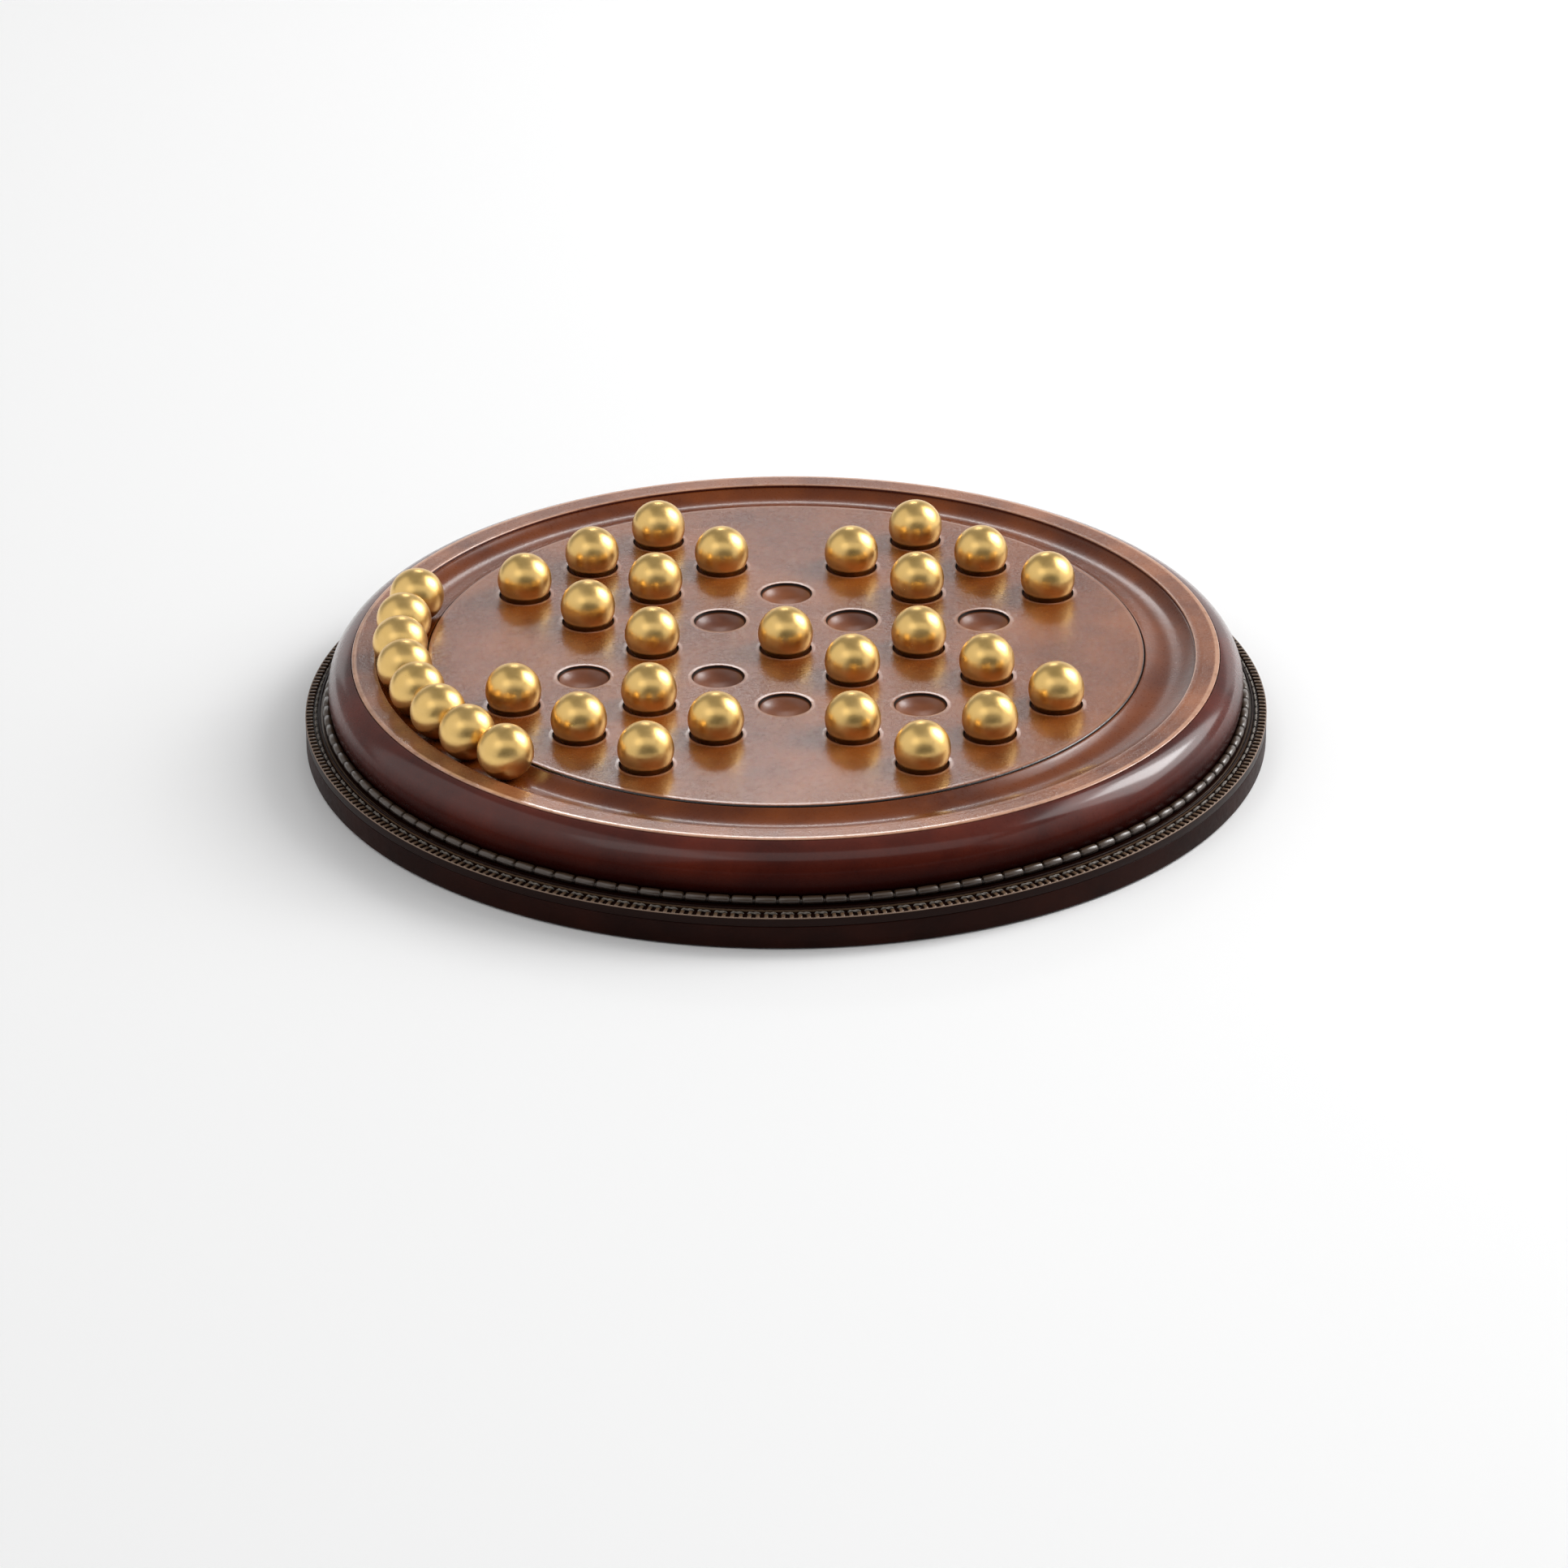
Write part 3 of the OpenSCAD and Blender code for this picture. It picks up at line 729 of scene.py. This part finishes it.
turn(bm)
print("the wall's arcs in mm: shoulder", round(SHOULDER_ARC, 2), "and foot", round(FOOT_ARC, 2))
# foot: painted shade, darkening from 31 mm down to 15 mm
wall_calf = burnished_calf("burnished calf, wall", "#602010", "#3e1008", foot=("#170202", 15, 31), shine=0.04,
                           wax=1.0)
make_piece("wall_skin", bm, wall_calf, "board", "wall_leather")

# %% [markdown]
# ## The welt
#
# A shoe's welt is the strip that joins the upper to the sole, and here it joins the wall to the
# base. From the wall outwards it has a seat for a notched bead, a groove, a plain ridge, a channel
# with the stitches, a band knurled by a heated wheel into fine ridges, and a thin lip.
#
# ### Waxed welt leather
#
# The welt is darker in its hollows and paler on its crests, which is what makes such fine detail
# readable. Height tells crest from hollow here, so the colour follows Z, with a little noise so that
# the rubbing looks done by hand. This is partly the leather's own blackened hollows and rubbed
# crests, and partly painted shade in the hollows and painted light on the tops. The plain ridge is
# the highest part and was left black, so above `top` the colour is the hollow's again. The outermost
# lip is painted palest, a painted highlight of its bright edge: it is found by its radius, and the
# crests have more wax than the hollows.

# %% Waxed welt leather
RUB, HAND = 1.5, 0.3
# the outermost lip of the welt gets a pale painted highlight, found by radius and height
LIP_HIGHLIGHT_R, LIP_HIGHLIGHT_Z = (174.4, 174.7), (11.8, 12.0)
PAINTED_LIP_HIGHLIGHT = "#8f7868"


def waxed_welt(name, hollow, crest, low, high, top=99, shine=0.1, wax=0.05):
    """Dark waxed leather, which goes from hollow to crest between two heights and is dark again above top."""
    finish, tree, where = new_finish(name)
    height = add(tree, "SeparateXYZ", {0: where})
    rub = add(tree, "TexNoise", {"Vector": where, "Scale": cells(RUB), "Detail": 4})
    uneven = add(tree, "MapRange", {"Value": rub.outputs[0], "To Min": -HAND * MM, "To Max": HAND * MM})
    level = add(tree, "Math", {0: height.outputs["Z"], 1: uneven.outputs["Result"]}, operation="ADD")
    # darker hollows and paler crests by height: partly the leather's own colour, partly painted shade and
    # painted light
    wear_and_painted_light = add(tree, "MapRange", {"Value": level.outputs[0], "From Min": low * MM, "From Max": high * MM},
               interpolation_type="SMOOTHSTEP")
    under = add(tree, "MapRange", {"Value": level.outputs[0], "From Min": top * MM,
                                   "From Max": (top - HAND) * MM})
    wear_and_painted_light = add(tree, "Math", {0: wear_and_painted_light.outputs["Result"], 1: under.outputs["Result"]}, operation="MULTIPLY")
    colour = add(tree, "Mix", {0: wear_and_painted_light.outputs[0], 6: linear(hollow), 7: linear(crest)},
                 data_type="RGBA").outputs[2]
    flat = add(tree, "VectorMath", {0: where, 1: (1, 1, 0)}, operation="MULTIPLY")
    radius = add(tree, "VectorMath", {0: flat.outputs[0]}, operation="LENGTH")
    # the outermost lip: a painted highlight in a pale colour
    reach = ((radius.outputs["Value"], LIP_HIGHLIGHT_R), (height.outputs["Z"], LIP_HIGHLIGHT_Z))
    lip, edge = [add(tree, "MapRange", {"Value": value, "From Min": begin * MM, "From Max": end * MM})
                 for value, (begin, end) in reach]
    rubbed = add(tree, "Math", {0: lip.outputs["Result"], 1: edge.outputs["Result"]}, operation="MULTIPLY")
    colour = add(tree, "Mix", {0: rubbed.outputs[0], 6: colour, 7: linear(PAINTED_LIP_HIGHLIGHT)},
                 data_type="RGBA").outputs[2]
    bump = add(tree, "Bump", {"Strength": 0.5, "Distance": 0.05 * MM, "Height": rub.outputs[0]})
    sheen = add(tree, "Math", {0: wear_and_painted_light.outputs[0], 1: wax}, operation="MULTIPLY")
    surface = add(tree, "BsdfPrincipled", {
        "Base Color": colour, "Roughness": 0.36, "IOR": CALF_IOR, "Specular IOR Level": shine,
        "Coat Weight": sheen.outputs[0], "Coat Roughness": 0.2, "Normal": bump.outputs[0]})
    add(tree, "OutputMaterial", {"Surface": surface.outputs[0]})
    return finish


# the welt: hollows darkened as painted shade and knurled crests paler as painted light, over leather also dark
# in its hollows
welt_leather = waxed_welt("waxed welt leather", "#1c0904", "#6e5743", 11.9, 12.6, top=13.0, wax=0.6)
# the bead: darker low down and in its nicks, as painted shade, and paler on top, as painted light
bead_leather = waxed_welt("waxed bead leather", "#120806", "#4a3829", 14.0, 16.8, shine=0.5, wax=0.7)
print("welt finishes:", welt_leather.name, "and", bead_leather.name)

# %% [markdown]
# ### The strip
#
# The strip is turned like the rest of the board, and starts under the wall's turned-in leather. Its
# corners are drawn square, in order round the section, and those that show are rounded afterwards.

# %% The strip
BEAD_R, BEAD_HALF, BEAD_SEAT = 166.97, 1.6, 13.35
GROOVE_FLOOR, RISER_IN, STRIP_TOP = 12.55, 164.7, 11.2
RIDGE_IN, RIDGE_OUT, RIDGE_TOP = 169.37, 170.17, 13.6
CHANNEL_FLOOR, SLOT_FLOOR = 11.5, 11.7
KNURL_IN, KNURL_END, LIP_TOP, BOARD_R = 172.17, 174.67, 12.2, 174.97

bm = bmesh.new()
tip = start = pen_down(bm, WALL_IN, CORE_FOOT)
corners = [(BOARD_R, CORE_FOOT), (BOARD_R, LIP_TOP), (KNURL_END, LIP_TOP), (KNURL_END, SLOT_FLOOR),
           (KNURL_IN, SLOT_FLOOR), (KNURL_IN, CHANNEL_FLOOR), (RIDGE_OUT, CHANNEL_FLOOR),
           (RIDGE_OUT, RIDGE_TOP), (RIDGE_IN, RIDGE_TOP), (RIDGE_IN, GROOVE_FLOOR),
           (BEAD_R + BEAD_HALF, GROOVE_FLOOR), (BEAD_R + BEAD_HALF, BEAD_SEAT), (RISER_IN, BEAD_SEAT),
           (RISER_IN, STRIP_TOP), (WALL_IN, STRIP_TOP)]
for r, z in corners:
    tip = line_to(bm, tip, r, z)
close_section(bm, tip, start, [(BOARD_R, CORE_FOOT, 0.3), (BOARD_R, LIP_TOP, 0.14), (KNURL_END, LIP_TOP, 0.1),
                               (RIDGE_OUT, RIDGE_TOP, 0.34), (RIDGE_IN, RIDGE_TOP, 0.34)])
turn(bm)
strip = bpy.data.meshes.new("strip")
bm.to_mesh(strip)
bm.free()
print("strip:", len(strip.polygons), "faces")

# %% [markdown]
# ### The knurled ridges
#
# A ridge is one small bar with rounded edges, sunk a little into the strip. It is repeated round the
# axis by a spin that duplicates, two ridges to a stitch, so each has only a few dozen faces. Strip
# and ridges then join in one mesh, because they are one piece of leather.

# %% The knurled ridges
STITCH_COUNT = 188
RIDGE_COUNT = 2 * STITCH_COUNT
WELT_TOP, SLOT_W, RIDGE_ROUND = 12.5, 1.4, 0.42
SUNK, OVERLAP = 0.3, 0.05


def repeat_round(bm, count):
    """Copies everything round the board's axis, count in all."""
    whole = bm.verts[:] + bm.edges[:] + bm.faces[:]
    bmesh.ops.spin(bm, geom=whole, cent=(0, 0, 0), axis=(0, 0, 1), angle=2 * pi * (count - 1) / count,
                   steps=count - 1, use_duplicate=True)


bm = bmesh.new()
length = KNURL_END - KNURL_IN + 2 * OVERLAP
width = 2 * pi * KNURL_IN / RIDGE_COUNT - SLOT_W
height = WELT_TOP - SLOT_FLOOR + SUNK
bmesh.ops.create_cube(bm, size=1, matrix=Matrix.Diagonal((length * MM, width * MM, height * MM, 1)))
crest = [e for e in bm.edges if sum(v.co.z > 0 for v in e.verts) == 2]
round_off(bm, crest, RIDGE_ROUND, 2, affect="EDGES")
middle = Vector((KNURL_IN + length / 2 - OVERLAP, 0, WELT_TOP - height / 2))
bmesh.ops.translate(bm, verts=bm.verts, vec=middle * MM)
print(RIDGE_COUNT, "ridges", round(width, 2), "mm wide, each of", len(bm.faces), "faces")
repeat_round(bm, RIDGE_COUNT)
bm.from_mesh(strip)
bpy.data.meshes.remove(strip)
make_piece("welt_strip", bm, welt_leather, "board", "welt")

# %% [markdown]
# ### The notched bead
#
# A round cord covered in leather leans on the wall's foot and was nicked across at even steps. One
# step of it is drawn as nine rings of vertices: small in the nick, full between, and drawn down and
# in where they are small. The rings are bridged, the step is repeated round the axis, and the open
# ends meet and merge into one torus. An Array modifier on a curve would bend each step a little
# differently, and leave its ends open.

# %% The notched bead
BEAD_Z, BEAD_COUNT = 15.0, 131
RING_SIDES = 10
NICK_IN, NICK_DOWN = 0.3, 1.2
RINGS_MEET = 2e-6
STEP_ANGLE = 2 * pi / BEAD_COUNT
# how far along the step each ring lies, and its size
STATIONS = [(0, 0.6), (0.035, 0.62), (0.06, 0.87), (0.12, 0.97), (0.5, 1.0), (0.88, 0.97), (0.94, 0.87),
            (0.965, 0.62), (1, 0.6)]
bm = bmesh.new()
loops = []
for along, scale in STATIONS:
    ring = bmesh.ops.create_circle(bm, cap_ends=False, segments=RING_SIDES, radius=BEAD_HALF * scale * MM)
    ring = ring["verts"]
    lean = Vector((BEAD_R - NICK_IN * (1 - scale), 0, BEAD_Z - NICK_DOWN * (1 - scale))) * MM
    bmesh.ops.transform(bm, verts=ring, matrix=Matrix.Rotation(along * STEP_ANGLE, 4, "Z")
                        @ Matrix.Translation(lean) @ Matrix.Rotation(pi / 2, 4, "X"))
    loops.append([e for e in bm.edges if set(e.verts) <= set(ring)])
for near, far in zip(loops, loops[1:]):
    bmesh.ops.bridge_loops(bm, edges=near + far)
print("one step of the bead has", len(bm.faces), "faces")
repeat_round(bm, BEAD_COUNT)
bmesh.ops.remove_doubles(bm, verts=bm.verts, dist=RINGS_MEET)
make_piece("bead_cord", bm, bead_leather, "board", "notched_bead", crease=60)

# %% [markdown]
# ### The stitches
#
# The thread is waxed linen laid up from two strands, so it is dull, with pale and dark fibres.

# %% Waxed linen thread
thread, tree, where = new_finish("waxed linen thread")
fibres = add(tree, "TexNoise", {"Vector": where, "Scale": cells(0.35), "Detail": 3})
tone = add(tree, "Mix", {0: fibres.outputs[0], 6: linear("#2e2823"), 7: linear("#968b7f")}, data_type="RGBA")
fuzz = add(tree, "Bump", {"Strength": 0.5, "Distance": 0.05 * MM, "Height": fibres.outputs[0]})
linen = add(tree, "BsdfPrincipled", {"Base Color": tone.outputs[2], "Roughness": 0.5, "Sheen Weight": 0.3,
                                     "Normal": fuzz.outputs[0]})
add(tree, "OutputMaterial", {"Surface": linen.outputs[0]})
print("thread:", thread.name)

# %% [markdown]
# Each stitch shows as a short twisted bar whose ends dive into the welt. An oval ring of eight
# vertices is extruded along the stitch, turned at every step so that its long axis winds like the
# strands, and drawn in at both ends. It is made upright and then laid along the channel.

# %% The stitches
STITCH_R, STITCH_LENGTH, THREAD = 171.17, 4.5, 1.1
STITCH_STEPS = 8
TWIST = radians(46)
OVAL, TAPER, DIVE = 0.66, 0.5, 0.2

bm = bmesh.new()
ring = bmesh.ops.create_circle(bm, cap_ends=True, segments=8, radius=THREAD / 2 * MM)["verts"]
bmesh.ops.scale(bm, verts=ring, vec=(1, OVAL, 1))
bmesh.ops.scale(bm, verts=ring, vec=(TAPER, TAPER, 1))
cap = bm.faces[:]
for step in range(STITCH_STEPS):
    inner = cap if step else []
    cap = [g for g in bmesh.ops.extrude_face_region(bm, geom=cap)["geom"] if isinstance(g, bmesh.types.BMFace)]
    bmesh.ops.delete(bm, geom=inner, context="FACES_ONLY")
    ring = list(cap[0].verts)
    bmesh.ops.translate(bm, verts=ring, vec=(0, 0, STITCH_LENGTH / STITCH_STEPS * MM))
    bmesh.ops.rotate(bm, verts=ring, cent=(0, 0, 0), matrix=Matrix.Rotation(TWIST, 3, "Z"))
    if step in (0, STITCH_STEPS - 1):
        grow = TAPER if step else 1 / TAPER
        bmesh.ops.scale(bm, verts=ring, vec=(grow, grow, 1))
bmesh.ops.translate(bm, verts=bm.verts, vec=(0, 0, -STITCH_LENGTH / 2 * MM))
bmesh.ops.rotate(bm, verts=bm.verts, cent=(0, 0, 0), matrix=Matrix.Rotation(pi / 2, 3, "X"))
bmesh.ops.translate(bm, verts=bm.verts, vec=Vector((STITCH_R, 0, CHANNEL_FLOOR + GLUE + THREAD / 2)) * MM)
ends = [v for v in bm.verts if abs(v.co.y) > 0.49 * STITCH_LENGTH * MM]
bmesh.ops.translate(bm, verts=ends, vec=(0, 0, -DIVE * MM))
bmesh.ops.rotate(bm, verts=bm.verts, cent=(0, 0, 0), matrix=Matrix.Rotation(pi / 2 / STITCH_COUNT, 3, "Z"))
print("one stitch has", len(bm.faces), "faces")
repeat_round(bm, STITCH_COUNT)
make_piece("welt_thread", bm, thread, "board", "welt_stitches", crease=75)

# %% [markdown]
# ## The base
#
# A band of stained leather goes round the plywood base, with its lower edge rounded, and a shallow
# groove marks the seam where it meets the welt. It is the darkest leather on the board, and nearly
# dull, because hands and cloths seldom reach it.

# %% The base's leather band
BASE_R, BAND_LIFT, BAND_ROUND, BASE_TOP = 173.62, 0.3, 1.0, 8.8

bm = bmesh.new()
tip = start = pen_down(bm, BASE_R + GLUE, BAND_LIFT)
tip = line_to(bm, tip, BOARD_R - BAND_ROUND, BAND_LIFT)
tip = arc_to(bm, tip, BOARD_R - BAND_ROUND, BAND_LIFT + BAND_ROUND, 90, 6)
tip = line_to(bm, tip, BOARD_R, BASE_TOP)
tip = line_to(bm, tip, BASE_R + GLUE, BASE_TOP)
close_section(bm, tip, start, [(BOARD_R, BASE_TOP, 0.3)])
turn(bm)
edge_calf = burnished_calf("stained calf, base edge", "#2a0e06", "#180603", gloss=0.45, wax=0.05, shine=0.05)
make_piece("base_edge_leather", bm, edge_calf, "board", "edge_band")

# %% [markdown]
# ### The felt pad
#
# A pad of pressed wool felt covers the screws and keeps the board from scratching the table. Only
# its rim shows, as a dark soft line, but it is a whole piece. Felt has no weave: its wool is matted,
# so a rough noise gives it clumps, and a little sheen gives it a nap.

# %% Pressed wool felt and the pad
PAD_R, PAD_T, PAD_RINGS, PAD_ROUND = 171.62, 1.0, (60, 120), 0.3

felt, tree, where = new_finish("pressed wool felt")
wool = add(tree, "TexNoise", {"Vector": where, "Scale": cells(0.7), "Detail": 6, "Roughness": 0.75})
shade = add(tree, "Mix", {0: wool.outputs[0], 6: linear("#191614"), 7: linear("#3a3531")}, data_type="RGBA")
nap = add(tree, "Bump", {"Strength": 0.8, "Distance": 0.25 * MM, "Height": wool.outputs[0]})
cloth = add(tree, "BsdfPrincipled", {"Base Color": shade.outputs[2], "Roughness": 0.95, "Sheen Weight": 0.5,
                                     "Normal": nap.outputs[0]})
add(tree, "OutputMaterial", {"Surface": cloth.outputs[0]})

bm = bmesh.new()
tip = pen_down(bm, 0, 0)
for r in (*PAD_RINGS, PAD_R):
    tip = line_to(bm, tip, r, 0)
tip = line_to(bm, tip, PAD_R, PAD_T)
for r in (*reversed(PAD_RINGS), 0):
    tip = line_to(bm, tip, r, PAD_T)
for corner in [v for v in bm.verts if v.co.x > (PAD_R - 0.01) * MM]:
    round_off(bm, [corner], PAD_ROUND, 2)
turn(bm, TURN_STEPS // 2)
make_piece("felt_base_pad", bm, felt, "board", "base_pad")

# %% [markdown]
# ## The balls
#
# Each ball is solid brass, turned and then satin-finished by tumbling, which leaves a fine random
# frost in place of lathe lines. The metal's own colour is a pale yellow; the deep gold of its lower
# half is brass mirroring brown leather. The frost is a fine noise on the normal, and slow clouds
# vary the polish. Object coordinates run on from ball to ball, so no two have the same marks.

# %% Satin brass
FROST, HANDLING = 0.5, 5

satin_brass, tree, where = new_finish("tumbled satin brass")
frost = add(tree, "TexNoise", {"Vector": where, "Scale": cells(FROST), "Detail": 3, "Roughness": 0.6})
handling = add(tree, "TexNoise", {"Vector": where, "Scale": cells(HANDLING), "Detail": 5, "Roughness": 0.65})
satin = add(tree, "MapRange", {"Value": handling.outputs[0], "From Min": 0.3, "From Max": 0.7, "To Min": 0.27,
                               "To Max": 0.37})
alloy = add(tree, "Mix", {0: handling.outputs[0], 6: linear("#e9c070"), 7: linear("#f6d08a")}, data_type="RGBA")
dents = add(tree, "Bump", {"Strength": 0.6, "Distance": 0.02 * MM, "Height": frost.outputs[0]})
metal = add(tree, "BsdfPrincipled", {"Base Color": alloy.outputs[2], "Metallic": 1.0,
                                     "Roughness": satin.outputs["Result"], "Normal": dents.outputs[0]})
add(tree, "OutputMaterial", {"Surface": metal.outputs[0]})
print("metal:", satin_brass.name)

# %% [markdown]
# ### The balls in play
#
# A ball could be a UV sphere, but its poles would pinch the highlights. An icosphere has even
# triangles and no poles, so the highlights stay round from every side. Each ball is named for its
# hole, with a letter one way of the cross and a number the other.

# %% The balls in play
BALL_R = 10.0
BALL_DIVISIONS = 5
SEAT_GAP = 0.05
FILES = "abcdefg"


def make_ball(name, place, body):
    """A brass ball about a place in metres, which stands for the CAD ball of the same body."""
    bm = bmesh.new()
    bmesh.ops.create_icosphere(bm, subdivisions=BALL_DIVISIONS, radius=BALL_R * MM,
                               matrix=Matrix.Translation(place))
    return make_piece(name, bm, satin_brass, body, body)


for hole in HOLES:
    if hole not in EMPTY:
        name = FILES[hole[0] + REACH] + str(hole[1] + REACH + 1)
        rest = Vector((0, 0, FACE - HOLE_DEPTH + SEAT_GAP + BALL_R)) * MM
        make_ball("brass_ball_" + name, hole_place(hole) + rest, "ball_" + name)

# %% [markdown]
# ### The captured balls
#
# The captured balls rolled to rest in the gutter, touching or nearly so. Each one's angle follows
# from the gap before it: two balls whose centres are a chord apart on the gutter's middle circle
# subtend twice the arcsine of half that chord over the radius.

# %% The captured balls
CAPTURED_START = 166.3
CAPTURED_GAPS = [1.9, 0.3, 0.4, 0.3, 0.4, 0.4, 1.4]

angle = radians(CAPTURED_START)
for number, gap in enumerate(CAPTURED_GAPS + [0], start=1):
    height = GUTTER_FLOOR + SEAT_GAP + BALL_R
    place = Vector((GUTTER_MID * cos(angle), GUTTER_MID * sin(angle), height)) * MM
    make_ball(f"brass_captured_{number}", place, f"gutter_ball_{number}")
    angle += 2 * asin((2 * BALL_R + gap) / (2 * GUTTER_MID))

# %% [markdown]
# ## What is hidden
#
# The wooden ring and disc, the plywood base, the screws and the dowels keep their CAD meshes,
# because turned wood and plain hardware are exactly what CAD draws well. They still get real
# finishes, for whoever lifts the leather. Beech is a pale wood with short dark flecks, drawn out
# along the grain, so one axis of its patterns is stretched.

# %% Beech
ALONG_GRAIN = 0.08
RING, FLECK = 6, 0.9

beech, tree, where = new_finish("turned beech")
along = add(tree, "Mapping", {"Vector": where, "Scale": (ALONG_GRAIN, 1, 1)})
rings = add(tree, "TexNoise", {"Vector": along.outputs[0], "Scale": cells(RING), "Detail": 4})
fleck = add(tree, "TexVoronoi", {"Vector": along.outputs[0], "Scale": cells(FLECK)})
flecks = add(tree, "MapRange", {"Value": fleck.outputs["Distance"], "From Min": 0.1, "From Max": 0.25})
wood = add(tree, "Mix", {0: rings.outputs[0], 6: linear("#b98f63"), 7: linear("#d8b48a")}, data_type="RGBA")
marked = add(tree, "Mix", {0: flecks.outputs["Result"], 6: linear("#94683f"), 7: wood.outputs[2]},
             data_type="RGBA")
beech_surface = add(tree, "BsdfPrincipled", {"Base Color": marked.outputs[2], "Roughness": 0.6})
add(tree, "OutputMaterial", {"Surface": beech_surface.outputs[0]})
print("flecks of", FLECK, "mm, drawn out to", round(FLECK / ALONG_GRAIN, 1), "mm")

# %% [markdown]
# Birch plywood shows its plies at the edge: every other one lies across, and is darker end grain.
# Ping-pong makes the height rise and fall, and it is above its middle in every other ply.

# %% Birch plywood
PLY = 2.8

plywood, tree, where = new_finish("birch plywood")
height = add(tree, "SeparateXYZ", {0: where})
layer = add(tree, "Math", {0: height.outputs["Z"], 1: PLY * MM}, operation="PINGPONG")
ply = add(tree, "MapRange", {"Value": layer.outputs[0], "From Min": 0.45 * PLY * MM,
                             "From Max": 0.55 * PLY * MM})
grain = add(tree, "TexNoise", {"Vector": where, "Scale": cells(2), "Detail": 5})
pale = add(tree, "Mix", {0: grain.outputs[0], 6: linear("#c9a878"), 7: linear("#e0c69a")}, data_type="RGBA")
striped = add(tree, "Mix", {0: ply.outputs["Result"], 6: pale.outputs[2], 7: linear("#a98255")},
              data_type="RGBA")
ply_surface = add(tree, "BsdfPrincipled", {"Base Color": striped.outputs[2], "Roughness": 0.65})
add(tree, "OutputMaterial", {"Surface": ply_surface.outputs[0]})
print("plies of", PLY, "mm")

# %% [markdown]
# The screws are zinc-plated steel, a cool pale grey whose bloom makes it shine unevenly. With that
# every hidden piece has its finish, which goes into its material slot and leaves its mesh alone.

# %% Zinc-plated steel, and who wears what
steel, tree, where = new_finish("zinc-plated steel")
bloom = add(tree, "TexNoise", {"Vector": where, "Scale": cells(1.2), "Detail": 4})
dull = add(tree, "MapRange", {"Value": bloom.outputs[0], "To Min": 0.25, "To Max": 0.5})
zinc = add(tree, "BsdfPrincipled", {"Base Color": linear("#c4c7c9"), "Metallic": 1.0,
                                    "Roughness": dull.outputs["Result"]})
add(tree, "OutputMaterial", {"Surface": zinc.outputs[0]})

HIDDEN = {"ring_core": beech, "disc_core": beech, "locating_dowels": beech, "base_board": plywood,
          "base_screws": steel}
for name, finish in HIDDEN.items():
    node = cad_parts[name]
    node.data.materials.clear()
    node.data.materials.append(finish)
print("hidden pieces finished:", sorted(HIDDEN))
